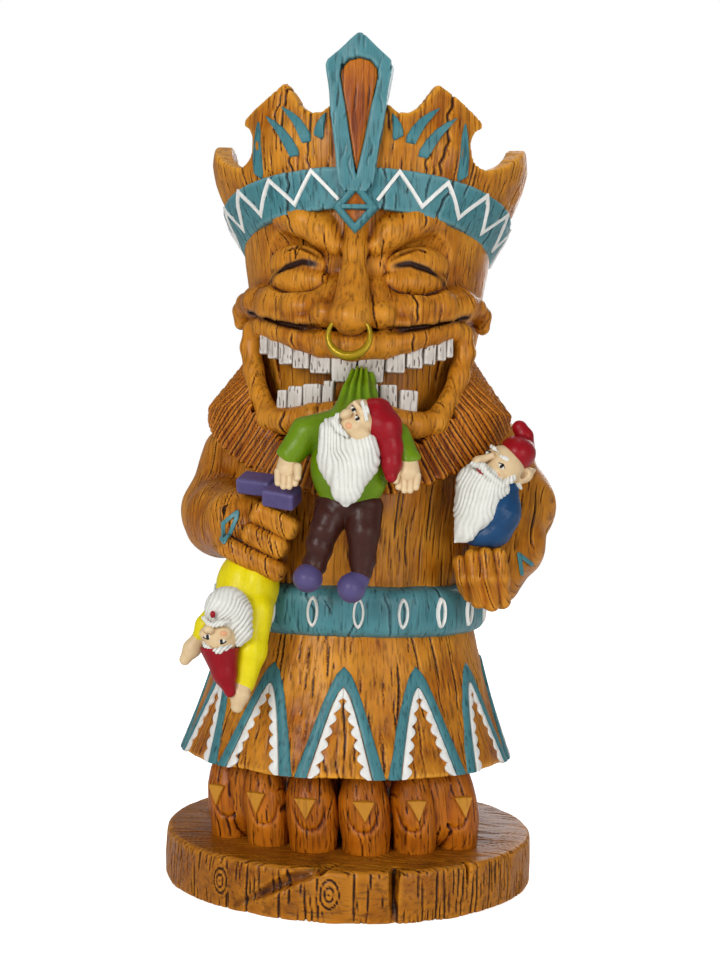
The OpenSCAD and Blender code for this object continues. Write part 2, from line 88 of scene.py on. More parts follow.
def noise(points, seed=0):
    """Smooth value noise from -1 to 1 at each row of points."""
    cell = np.floor(points)
    f = points - cell
    f = f * f * f * (f * (f * 6 - 15) + 10)
    base = cell.astype(np.int64)
    total = np.zeros(len(points))
    for corner in range(8):
        step = np.array([corner & 1, corner >> 1 & 1, corner >> 2 & 1])
        c = base + step
        h = c[:, 0] * 374761393 + c[:, 1] * 668265263 + c[:, 2] * 2147483647 + seed * 1274126177
        h = (h ^ (h >> 13)) * 1274126177 & 0x7FFFFFFF
        h = (h ^ (h >> 16)) & 0xFFFF
        weight = np.prod(np.where(step, f, 1 - f), axis=1)
        total += weight * (h / 32767.5 - 1)
    return total


def smoothstep(low, high, value):
    t = np.clip((value - low) / (high - low), 0, 1)
    return t * t * (3 - 2 * t)


# ---- clay: signed distances on a block of space ----

def turn_matrix(rx, ry, rz):
    rx, ry, rz = (math.radians(a) for a in (rx, ry, rz))
    mx = np.array([[1, 0, 0], [0, math.cos(rx), -math.sin(rx)], [0, math.sin(rx), math.cos(rx)]])
    my = np.array([[math.cos(ry), 0, math.sin(ry)], [0, 1, 0], [-math.sin(ry), 0, math.cos(ry)]])
    mz = np.array([[math.cos(rz), -math.sin(rz), 0], [math.sin(rz), math.cos(rz), 0], [0, 0, 1]])
    return mz @ my @ mx


def soft_min(a, b, k):
    if k <= 0:
        return np.minimum(a, b)
    h = np.clip(0.5 + 0.5 * (b - a) / k, 0, 1)
    return b + (a - b) * h - k * h * (1 - h)


class Clay:
    """A block of space that shapes are added to and cut from. Its corners and the places of its shapes are
    given from the origin at."""

    def __init__(self, low, high, cell, at=(0, 0, 0)):
        self.at = np.array(at, float)
        self.low = np.array(low, float) + self.at
        self.cell = cell
        size = np.array(high, float) - np.array(low, float)
        self.shape = tuple(np.ceil(size / cell).astype(int) + 1)
        self.d = np.full(self.shape, 30.0, np.float32)

    def window(self, low, high):
        a = np.floor((np.array(low) - self.low) / self.cell).astype(int)
        b = np.ceil((np.array(high) - self.low) / self.cell).astype(int) + 1
        a = np.clip(a, 0, self.shape)
        b = np.clip(b, 0, self.shape)
        where = tuple(slice(i, j) for i, j in zip(a, b))
        axes = []
        for i in range(3):
            line = self.low[i] + self.cell * np.arange(a[i], b[i])
            shape = [1, 1, 1]
            shape[i] = len(line)
            axes.append(line.reshape(shape).astype(np.float32))
        return where, axes

    def apply(self, make, low, high, k, cut):
        pad = k + 3 * self.cell
        where, (x, y, z) = self.window(np.array(low) - pad, np.array(high) + pad)
        new = make(x, y, z)
        old = self.d[where]
        if cut:
            self.d[where] = -soft_min(-old, new, k)
        else:
            self.d[where] = soft_min(old, new, k)

    def everywhere(self, make, k=0, cut=False, keep=False):
        (x, y, z) = self.window(self.low, self.low + self.cell * np.array(self.shape))[1]
        new = np.broadcast_to(make(x, y, z), self.shape)
        if keep:
            self.d = -soft_min(-self.d, -new, k)
        elif cut:
            self.d = -soft_min(-self.d, new, k)
        else:
            self.d = soft_min(self.d, new, k)

    def blob(self, centre, radii, turn=(0, 0, 0), k=0, cut=False):
        """An ellipsoid."""
        centre = np.array(centre, float) + self.at
        radii = np.array(radii, float) * np.ones(3)
        m = turn_matrix(*turn)
        reach = np.sqrt(((m * radii) ** 2).sum(1))

        def make(x, y, z):
            x, y, z = x - centre[0], y - centre[1], z - centre[2]
            u = (m[0, 0] * x + m[1, 0] * y + m[2, 0] * z) / radii[0]
            v = (m[0, 1] * x + m[1, 1] * y + m[2, 1] * z) / radii[1]
            w = (m[0, 2] * x + m[1, 2] * y + m[2, 2] * z) / radii[2]
            near = np.sqrt(u * u + v * v + w * w) + 1e-6
            slope = np.sqrt((u / radii[0]) ** 2 + (v / radii[1]) ** 2 + (w / radii[2]) ** 2) + 1e-6
            return near * (near - 1) / slope
        self.apply(make, centre - reach, centre + reach, k, cut)

    def limb(self, p, q, r1, r2, k=0, cut=False, flat=(1, 1, 1)):
        """A round bar that tapers from r1 at p to r2 at q; flat stretches its section along an axis."""
        p, q = np.array(p, float) + self.at, np.array(q, float) + self.at
        flat = np.array(flat, float)
        a, b = p / flat, q / flat
        ab = b - a
        size = max((ab ** 2).sum(), 1e-9)

        def make(x, y, z):
            x, y, z = x / flat[0] - a[0], y / flat[1] - a[1], z / flat[2] - a[2]
            t = np.clip((x * ab[0] + y * ab[1] + z * ab[2]) / size, 0, 1)
            gap = np.sqrt((x - t * ab[0]) ** 2 + (y - t * ab[1]) ** 2 + (z - t * ab[2]) ** 2)
            return (gap - (r1 + (r2 - r1) * t)) * flat.min()
        r = max(r1, r2) * flat
        self.apply(make, np.minimum(p, q) - r, np.maximum(p, q) + r, k, cut)

    def path(self, points, radii, k=0, cut=False, flat=(1, 1, 1)):
        """Limbs joined end to end through the points."""
        for i in range(len(points) - 1):
            self.limb(points[i], points[i + 1], radii[i], radii[i + 1], k, cut, flat)

    def brick(self, centre, half, corner, turn=(0, 0, 0), k=0, cut=False):
        """A box with round corners."""
        centre, half = np.array(centre, float) + self.at, np.array(half, float)
        m = turn_matrix(*turn)
        reach = np.abs(m) @ half

        def make(x, y, z):
            x, y, z = x - centre[0], y - centre[1], z - centre[2]
            q = [np.abs(m[0, i] * x + m[1, i] * y + m[2, i] * z) - half[i] + corner for i in range(3)]
            out = np.sqrt(sum(np.maximum(c, 0) ** 2 for c in q))
            return out + np.minimum(np.maximum(np.maximum(q[0], q[1]), q[2]), 0) - corner
        self.apply(make, centre - reach, centre + reach, k, cut)

    def sample(self, x, y, z):
        """The stored distance at any places, read between the cells."""
        where, weight = [], []
        for i, line in enumerate((x, y, z)):
            spot = np.clip((line - self.low[i]) / self.cell, 0, self.shape[i] - 1.001)
            where.append(np.floor(spot).astype(int))
            weight.append(spot - where[-1])
        total = 0.0
        for corner in range(8):
            step = [corner & 1, corner >> 1 & 1, corner >> 2 & 1]
            share = 1.0
            for i in range(3):
                share = share * (weight[i] if step[i] else 1 - weight[i])
            total = total + share * self.d[where[0] + step[0], where[1] + step[1], where[2] + step[2]]
        return total

    def mesh(self):
        """Vertices in millimetres and quads, facing out."""
        grid = openvdb.FloatGrid()
        grid.copyFromArray(np.ascontiguousarray(self.d))
        points, quads = grid.convertToQuads(0.0)
        return self.low + self.cell * points.astype(float), quads.astype(np.int32)


def radius(x, y):
    return np.sqrt((x - AXIS_X) ** 2 + (y - AXIS_Y) ** 2)


def angle(x, y):
    """Angle round the figure's axis, 0 at the front and positive towards its left hand."""
    return np.arctan2(x - AXIS_X, -(y - AXIS_Y))


def line_distance(x, z, points):
    """Distance in the front view from a line through the points."""
    best = 1e9
    for (ax, az), (bx, bz) in zip(points, points[1:]):
        dx, dz = bx - ax, bz - az
        t = np.clip(((x - ax) * dx + (z - az) * dz) / (dx * dx + dz * dz), 0, 1)
        best = np.minimum(best, np.sqrt((x - ax - t * dx) ** 2 + (z - az - t * dz) ** 2))
    return best


# ---- from clay to painted mesh ----

# Carved strokes: pitch, length, half width and depth in millimetres, and how dark the stain in them is
CARVED = [(10.0, 70, 0.7, 1.1, 1.0), (5.2, 38, 0.6, 0.7, 0.55), (2.9, 26, 0.6, 0.45, 0.25)]
ARM_CARVED = [(6.4, 34, 0.6, 0.95, 1.0), (3.1, 22, 0.5, 0.55, 0.5)]
BRUSHED = [(9.0, 24, 0.6, 0.7, 0.8), (3.6, 16, 0.5, 0.35, 0.35)]


def vertex_normals(v, quads):
    p = v[quads]
    face = np.cross(p[:, 2] - p[:, 0], p[:, 3] - p[:, 1])
    total = np.zeros_like(v)
    for i in range(4):
        for axis in range(3):
            total[:, axis] += np.bincount(quads[:, i], face[:, axis], len(v))
    return total / (np.linalg.norm(total, axis=1, keepdims=True) + 1e-12)


def spread(values, quads, rounds):
    """Average each vertex's value with its neighbours', round after round."""
    values = values.astype(float)
    edges = np.vstack([quads[:, [i, (i + 1) % 4]] for i in range(4)])
    count = np.bincount(edges[:, 0], minlength=len(values)) + np.bincount(edges[:, 1], minlength=len(values))
    for _ in range(rounds):
        new = np.empty_like(values)
        for axis in range(values.shape[1]):
            new[:, axis] = (np.bincount(edges[:, 0], values[edges[:, 1], axis], len(values))
                            + np.bincount(edges[:, 1], values[edges[:, 0], axis], len(values)))
        values = 0.5 * values + 0.5 * new / count[:, None]
    return values


def hollows(v, quads, normals, rounds):
    """How far each vertex lies inside its smoothed surroundings, in millimetres."""
    return ((spread(v, quads, rounds) - v) * normals).sum(1)


def upright_grain(v):
    """Wood coordinates of an upright log: round it, up it, and into it."""
    a = angle(v[:, 0], v[:, 1])
    return np.column_stack([a * 62, v[:, 2], radius(v[:, 0], v[:, 1])])


def side_grain(v):
    """Wood coordinates with the grain running across, along X."""
    return np.column_stack([v[:, 1], v[:, 0], v[:, 2]])


def scatter(*cells):
    """A repeatable random number from 0 to 1 for each set of whole-number cells."""
    h = np.zeros(np.shape(cells[0]), np.int64) + 977
    for c in cells:
        h = (h ^ np.asarray(c).astype(np.int64)) * 1274126177 & 0x7FFFFFFF
        h ^= h >> 15
    return (h & 0xFFFF) / 65535


def groove_pattern(grain, pitch, length, width, seed, share=0.75):
    """Carved strokes along the grain, one to a cell: 1 in a stroke's middle, 0 on the wood between.
    width is half of a stroke's width in millimetres, and share is how many cells hold one."""
    bend = noise(grain / np.array([pitch * 4, length * 0.5, pitch * 4]), seed + 7)
    u = grain[:, 0] / pitch + 0.35 * bend
    column = np.floor(u)
    w = grain[:, 1] / length + scatter(column, seed)
    row = np.floor(w)
    t = w - row
    centre = 0.25 + 0.5 * scatter(column, row, seed + 1)
    lean = 0.35 * (scatter(column, row, seed + 2) - 0.5)
    start = 0.45 * scatter(column, row, seed + 3)
    end = start + 0.3 + (0.7 - start) * scatter(column, row, seed + 4)
    taper = smoothstep(0, 0.12, t - start) * smoothstep(0, 0.2, end - t)
    across = np.abs(u - column - centre - lean * (t - 0.5)) * pitch
    present = scatter(column, row, seed + 5) < share
    return np.clip(1 - across / (width * (0.35 + 0.65 * taper)), 0, 1) * taper * present


def build(name, clay, replaces, material, grain=upright_grain, grooves=(), lumps=0.25, shape=None,
          cavity=1.0):
    """Mesh the clay, carve it along its grain, and store what the paint needs to know."""
    v, quads = clay.mesh()
    v = spread(v, quads, 1)
    normals = vertex_normals(v, quads)
    seed = sum(ord(c) for c in name)
    stain = np.zeros(len(v))
    coords = grain(v)
    painted_top_light = 0.0
    if shape is not None:
        depth, extra, *more = shape(v, normals)
        v = v + normals * depth[:, None]
        stain = np.maximum(stain, extra)
        # A shape's third value, where it gives one, is a painted highlight that lightens those places.
        painted_top_light = more[0] if more else 0.0
    if lumps:
        v = v + normals * (lumps * noise(v / 9.0, seed))[:, None]
    for pitch, length, width, depth, tint in grooves:
        seed += 11
        line = groove_pattern(coords, pitch, length, width, seed)
        v = v - normals * (depth * line)[:, None]
        stain = np.maximum(stain, line * tint)
    normals = vertex_normals(v, quads)
    fine = hollows(v, quads, normals, 2)
    wide = hollows(v, quads, normals, 14)
    # Painted light: above zero, in hollows, this is dark wash with painted shade. Below zero, on edges, it is
    # dry-brush with painted highlight. A shape's highlight value lowers it further.
    wash_shade_and_highlight = np.clip((fine * 2.6 + wide * 0.8) * cavity - painted_top_light, -1, 1)
    finish(name, v, quads, replaces, material, coords, stain, wash_shade_and_highlight)


# The casting's lower body stands a little towards the figure's right of its base and crown
LEAN = 2.8
LEANING = {"feet", "toenails", "skirt", "skirt_bands", "skirt_trim", "belt", "belt_ovals", "torso"}


def lean(v):
    z = v[:, 2]
    amount = LEAN * smoothstep(BASE_TOP, HEM_Z, z) * smoothstep(TORSO_HIGH[2] + 1, BELT_HIGH[2] + 15, z)
    return v - np.outer(amount, [1, 0, 0])


def add_piece(name, mesh, replaces, material):
    """A Blender object on the root body that stands for the replaced CAD nodes."""
    piece = bpy.data.objects.new(name, mesh)
    bpy.context.scene.collection.objects.link(piece)
    mesh.materials.append(material)
    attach(piece, "root")
    if replaces:
        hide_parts(*replaces)


def finish(name, v, quads, replaces, material, coords, stain, wash_shade_and_highlight):
    """A piece from millimetre vertices and quads, with the values its paint needs."""
    if name in LEANING:
        v = lean(v)
    mesh = bpy.data.meshes.new(name)
    mesh.vertices.add(len(v))
    mesh.vertices.foreach_set("co", (np.asarray(v) * MM).astype(np.float32).ravel())
    mesh.loops.add(quads.size)
    mesh.loops.foreach_set("vertex_index", quads.ravel().astype(np.int32))
    mesh.polygons.add(len(quads))
    mesh.polygons.foreach_set("loop_start", np.arange(0, quads.size, quads.shape[1], dtype=np.int32))
    mesh.polygons.foreach_set("use_smooth", np.ones(len(quads), bool))
    mesh.update(calc_edges=True)
    mesh.validate()
    store = mesh.attributes.new("grain", "FLOAT_VECTOR", "POINT")
    store.data.foreach_set("vector", np.asarray(coords, np.float32).ravel())
    # stain is the dark stain in carved strokes and cracks. The other value is dark wash with painted shade in
    # hollows, and dry-brush with painted highlight on edges.
    for label, values in (("stain", stain), ("wash_shade_and_highlight", wash_shade_and_highlight)):
        store = mesh.attributes.new(label, "FLOAT", "POINT")
        store.data.foreach_set("value", np.asarray(values, np.float32))
    add_piece(name, mesh, replaces, material)


# ---- reliefs: raised painted lines and patches that follow a surface ----

def join_parts(parts):
    """One list of vertices and one of faces from many."""
    verts, faces, base = [], [], 0
    for v, f in parts:
        verts.append(v)
        faces += [tuple(i + base for i in dict.fromkeys(face)) for face in f]
        base += len(v)
    return np.vstack(verts), faces


def relief(name, parts, replaces, material):
    """A piece made of strips and plates, whose faces may have any number of corners."""
    v, faces = join_parts(parts)
    if name in LEANING:
        v = lean(v)
    mesh = bpy.data.meshes.new(name)
    mesh.from_pydata((v * MM).tolist(), [], faces)
    mesh.validate()
    bm = bmesh.new()
    bm.from_mesh(mesh)
    bmesh.ops.recalc_face_normals(bm, faces=bm.faces)
    for face in bm.faces:
        face.smooth = True
    bm.to_mesh(mesh)
    bm.free()
    mesh.set_sharp_from_angle(angle=math.radians(50))
    store = mesh.attributes.new("grain", "FLOAT_VECTOR", "POINT")
    store.data.foreach_set("vector", upright_grain(v).astype(np.float32).ravel())
    for label in ("stain", "wash_shade_and_highlight"):
        mesh.attributes.new(label, "FLOAT", "POINT")
    add_piece(name, mesh, replaces, material)


def plate(outline, height, surface, sink=0.8):
    """A raised flat patch with a bevelled rim inside a closed (u, v) outline."""
    c = np.array(outline, float)
    centre = c.mean(0)
    n = len(c)
    reach = np.linalg.norm(c - centre, axis=1, keepdims=True)
    inset = centre + (c - centre) * (1 - 0.5 / np.maximum(reach, 1))
    levels = [(c, -sink), (c, height * 0.55), (inset, height)]
    v = np.vstack([surface(p[:, 0], p[:, 1], np.full(n, h)) for p, h in levels])
    faces = []
    for level in range(2):
        for i in range(n):
            j = (i + 1) % n
            faces.append((level * n + i, level * n + j, (level + 1) * n + j, (level + 1) * n + i))
    faces.append(tuple(range(n))[::-1])
    faces.append(tuple(range(2 * n, 3 * n)))
    return v, faces


# Sections of raised lines: how far across, and how far up as a share of the height
FLAT_TOP = [(0.0, -0.8), (0.03, 0.6), (0.14, 1.0), (0.5, 1.0), (0.86, 1.0), (0.97, 0.6), (1.0, -0.8)]
BEVELLED = [(0.0, -0.8), (0.06, 0.7), (0.25, 1.0), (0.75, 1.0), (0.94, 0.7), (1.0, -0.8)]
ROUND_TOP = [(0.0, -0.6), (0.1, 0.67), (0.5, 1.0), (0.9, 0.67), (1.0, -0.6)]


def strip_between(outer, inner, height, surface, section=FLAT_TOP, closed=False):
    """A raised strip between two lines with the same number of points."""
    outer, inner = np.array(outer, float), np.array(inner, float)
    n, m = len(outer), len(section)
    rings = [surface(*(outer + (inner - outer) * t).T, np.full(n, up * height)) for t, up in section]
    v = np.stack(rings, 1).reshape(-1, 3)
    faces = []
    for i in range(n if closed else n - 1):
        j = (i + 1) % n
        for s in range(m):
            t = (s + 1) % m
            faces.append((i * m + s, j * m + s, j * m + t, i * m + t))
    if not closed:
        faces.append(tuple(range(m)))
        faces.append(tuple((n - 1) * m + s for s in range(m))[::-1])
    return v, faces


def wrapped(radius_at):
    """A surface for reliefs round the axis: u is degrees from the front, v is z."""
    def surface(u, v, h):
        r = radius_at(v) + h
        a = np.radians(u)
        return np.column_stack([AXIS_X + r * np.sin(a), AXIS_Y - r * np.cos(a), v + 0 * u])
    return surface


# ---- materials ----

class Nodes:
    """Short names for building a node tree."""

    def __init__(self, name):
        self.material = bpy.data.materials.new(name)
        self.material.use_nodes = True
        self.tree = self.material.node_tree
        self.shader = self.tree.nodes["Principled BSDF"]

    def add(self, kind, **settings):
        node = self.tree.nodes.new(kind)
        for key, value in settings.items():
            setattr(node, key, value)
        return node

    def link(self, a, b):
        self.tree.links.new(a, b)

    def attribute(self, name, vector=False):
        node = self.add("ShaderNodeAttribute", attribute_name=name)
        return node.outputs["Vector" if vector else "Fac"]

    def math(self, operation, a, b=0.0, clamp=False):
        node = self.add("ShaderNodeMath", operation=operation, use_clamp=clamp)
        for socket, value in zip(node.inputs, (a, b)):
            if isinstance(value, (int, float)):
                socket.default_value = value
            else:
                self.link(value, socket)
        return node.outputs[0]

    def noise(self, vector, scale, detail=3.0, roughness=0.6, stretch=(1, 1, 1)):
        mapping = self.add("ShaderNodeMapping")
        mapping.inputs["Scale"].default_value = [scale * s for s in stretch]
        self.link(vector, mapping.inputs["Vector"])
        node = self.add("ShaderNodeTexNoise")
        node.inputs["Scale"].default_value = 1.0
        node.inputs["Detail"].default_value = detail
        node.inputs["Roughness"].default_value = roughness
        self.link(mapping.outputs[0], node.inputs["Vector"])
        return node.outputs["Fac"]

    def ramp(self, value, stops):
        node = self.add("ShaderNodeValToRGB")
        elements = node.color_ramp.elements
        while len(elements) < len(stops):
            elements.new(0.5)
        for element, (place, level) in zip(elements, stops):
            element.position = place
            element.color = (level, level, level, 1)
        self.link(value, node.inputs[0])
        return node.outputs[0]

    def mix(self, factor, a, b):
        node = self.add("ShaderNodeMix", data_type="RGBA")
        for socket, value in ((node.inputs[0], factor), (node.inputs[6], a), (node.inputs[7], b)):
            if isinstance(value, (int, float)):
                socket.default_value = value
            elif isinstance(value, tuple):
                socket.default_value = (*value, 1) if len(value) == 3 else value
            else:
                self.link(value, socket)
        return node.outputs[2]

    def bump(self, height, distance, strength):
        node = self.add("ShaderNodeBump")
        node.inputs["Distance"].default_value = distance
        node.inputs["Strength"].default_value = strength
        self.link(height, node.inputs["Height"])
        return node.outputs[0]


def srgb(r, g, b):
    """Linear colour from an 0 to 255 display colour."""
    return tuple(((c / 255 + 0.055) / 1.055) ** 2.4 if c > 10 else c / 255 / 12.92 for c in (r, g, b))


def wood_material(name, body, light, deep, line, grain_lines=1.0):
    """Carved-wood look: ochre paint, dark stain in strokes, dark wash with painted shade in hollows,
    dry-brushed edges with painted highlights, satin varnish.
    """
    n = Nodes(name)
    grain = n.attribute("grain", True)
    position = n.add("ShaderNodeTexCoord").outputs["Object"]
    stain = n.attribute("stain")
    wash_shade_and_highlight = n.attribute("wash_shade_and_highlight")
    patches = n.noise(position, 38, 3)
    streaks = n.noise(grain, 1, 4, 0.65, (0.55, 0.035, 0.3))
    hairs = n.noise(grain, 1, 3, 0.55, (0.95, 0.05, 0.5))
    colour = n.mix(n.ramp(streaks, [(0.34, 0), (0.66, 1)]), deep, body)
    colour = n.mix(n.ramp(patches, [(0.35, 0), (0.75, 0.75)]), colour, light)
    # Painted highlight: edges turn to the light colour, along with the dry-brushed paint there.
    edge = n.math("MULTIPLY", n.math("MAXIMUM", n.math("MULTIPLY", wash_shade_and_highlight, -1.0), 0.0), 1.2, True)
    colour = n.mix(edge, colour, light)
    # Painted shade: hollows darken to the deep colour, along with the dark wash in them.
    hollow = n.math("MULTIPLY", n.math("MAXIMUM", wash_shade_and_highlight, 0.0), 1.7, True)
    colour = n.mix(hollow, colour, deep)
    hair = n.math("MULTIPLY", n.ramp(hairs, [(0.35, 1), (0.47, 0)]), 0.42 * grain_lines)
    colour = n.mix(hair, colour, line)
    dark = n.math("POWER", n.math("MULTIPLY", stain, 1.25, True), 1.4)
    colour = n.mix(dark, colour, line)
    # The deepest hollows darken further, to the line colour: painted shade with the wash.
    deepest = n.ramp(hollow, [(0.55, 0), (1.0, 0.85)])
    colour = n.mix(deepest, colour, line)
    n.link(colour, n.shader.inputs["Base Color"])
    n.link(n.ramp(patches, [(0.3, 0.30), (0.7, 0.44)]), n.shader.inputs["Roughness"])
    height = n.math("SUBTRACT", n.math("MULTIPLY", streaks, 0.5), hair)
    n.link(n.bump(height, 0.0006, 0.8), n.shader.inputs["Normal"])
    n.shader.inputs["Specular IOR Level"].default_value = 0.18
    n.shader.inputs["Coat Weight"].default_value = 0.05
    n.shader.inputs["Coat Roughness"].default_value = 0.2
    return n.material


def paint_material(name, body, light, deep, metallic=0.0, roughness=0.36, streak=0.35, coat=0.06):
    """Brushed paint: mottled, darker in hollows with wash and painted shade, paler on edges with painted
    highlight, satin varnish.
    """
    n = Nodes(name)
    grain = n.attribute("grain", True)
    position = n.add("ShaderNodeTexCoord").outputs["Object"]
    wash_shade_and_highlight = n.attribute("wash_shade_and_highlight")
    stain = n.attribute("stain")
    mottle = n.noise(position, 160, 4)
    strokes = n.noise(grain, 1, 4, 0.6, (0.8, 0.06, 0.5))
    dull = tuple(0.82 * c + 0.18 * d for c, d in zip(body, deep))
    colour = n.mix(n.ramp(mottle, [(0.3, 0), (0.7, 1)]), body, dull)
    colour = n.mix(n.math("MULTIPLY", n.ramp(strokes, [(0.36, 1), (0.47, 0)]), streak), colour, deep)
    # Painted highlight: edges turn to the light colour.
    edge = n.math("MULTIPLY", n.math("MAXIMUM", n.math("MULTIPLY", wash_shade_and_highlight, -1.0), 0.0), 1.0, True)
    colour = n.mix(edge, colour, light)
    # Painted shade with wash: hollows and the carved stain darken to the deep colour.
    hollow = n.math("MULTIPLY", n.math("MAXIMUM", wash_shade_and_highlight, stain), 1.5, True)
    colour = n.mix(hollow, colour, deep)
    n.link(colour, n.shader.inputs["Base Color"])
    n.shader.inputs["Metallic"].default_value = metallic
    n.link(n.ramp(mottle, [(0.3, roughness - 0.05), (0.7, roughness + 0.07)]), n.shader.inputs["Roughness"])
    n.link(n.bump(n.math("ADD", n.math("MULTIPLY", mottle, 0.35), strokes), 0.0003, 0.7),
           n.shader.inputs["Normal"])
    n.shader.inputs["Specular IOR Level"].default_value = 0.22
    n.shader.inputs["Coat Weight"].default_value = coat
    n.shader.inputs["Coat Roughness"].default_value = 0.2
    return n.material


WOOD = wood_material("carved_wood", srgb(182, 104, 2), srgb(230, 158, 48), srgb(124, 58, 2), srgb(40, 14, 2))
BEARD_WOOD = wood_material("beard_wood", srgb(172, 90, 6), srgb(214, 134, 36), srgb(114, 44, 2),
                           srgb(48, 14, 2))
FOOT_WOOD = wood_material("foot_wood", srgb(172, 86, 2), srgb(212, 126, 24), srgb(118, 46, 2),
                          srgb(42, 12, 2))
BASE_WOOD = wood_material("base_wood", srgb(160, 90, 4), srgb(202, 130, 30), srgb(104, 48, 2),
                          srgb(38, 16, 4))
NAIL = paint_material("nail_paint", srgb(206, 142, 40), srgb(226, 172, 76), srgb(126, 68, 8))
TEAL = paint_material("teal_paint", srgb(70, 130, 138), srgb(118, 168, 174), srgb(20, 46, 52), streak=0.6)
WHITE = paint_material("white_paint", srgb(240, 240, 236), srgb(250, 250, 248), srgb(130, 112, 90),
                       streak=0.1)
TOOTH = paint_material("tooth_paint", srgb(206, 198, 188), srgb(236, 232, 226), srgb(66, 38, 24),
                       streak=0.55)
GOLD = paint_material("gold_paint", srgb(166, 138, 20), srgb(214, 192, 76), srgb(86, 64, 6), 0.4, 0.3, 0.1)
GREEN = paint_material("green_paint", srgb(104, 138, 4), srgb(140, 170, 36), srgb(44, 66, 2), streak=0.08)
BLUE = paint_material("blue_paint", srgb(20, 66, 108), srgb(44, 94, 142), srgb(10, 30, 64), streak=0.08)
YELLOW = paint_material("yellow_paint", srgb(236, 220, 4), srgb(246, 234, 60), srgb(168, 142, 2),
                        streak=0.06)
SKIN = paint_material("skin_paint", srgb(222, 194, 150), srgb(238, 216, 178), srgb(150, 98, 62), streak=0.05)
ROSE = paint_material("rose_paint", srgb(224, 164, 122), srgb(236, 186, 148), srgb(160, 88, 54), streak=0.05)
BEARD = paint_material("beard_paint", srgb(232, 232, 224), srgb(246, 246, 240), srgb(150, 144, 130),
                       streak=0.12)
RED = paint_material("red_paint", srgb(150, 2, 20), srgb(186, 30, 46), srgb(70, 2, 10), streak=0.08)
BROWN = paint_material("brown_paint", srgb(60, 26, 18), srgb(92, 50, 40), srgb(26, 12, 8), streak=0.08)
PURPLE = paint_material("purple_paint", srgb(84, 74, 122), srgb(124, 114, 160), srgb(34, 30, 58),
                        streak=0.08)
EYE_DARK = paint_material("eye_paint", srgb(22, 18, 18), srgb(60, 52, 50), srgb(10, 8, 8), streak=0.0)


# ---- camera ----

CAMERA_AWAY = 717.0
CAMERA_HEIGHT = 193.8
CAMERA_AZIMUTH = math.radians(5)
CAMERA_ROLL = math.radians(1.8)

camera_data = bpy.data.cameras.new("camera")
camera_data.lens = 54
camera_data.sensor_width = 36
camera_data.clip_start = 0.01
camera = bpy.data.objects.new("camera", camera_data)
camera.location = (CAMERA_AWAY * math.sin(CAMERA_AZIMUTH) * MM, -CAMERA_AWAY * math.cos(CAMERA_AZIMUTH) * MM,
                   CAMERA_HEIGHT * MM)
camera.rotation_mode = "XYZ"
camera.rotation_euler = (math.pi / 2, -CAMERA_ROLL, CAMERA_AZIMUTH)
bpy.context.scene.collection.objects.link(camera)
bpy.context.scene.camera = camera


# ---- base and feet ----

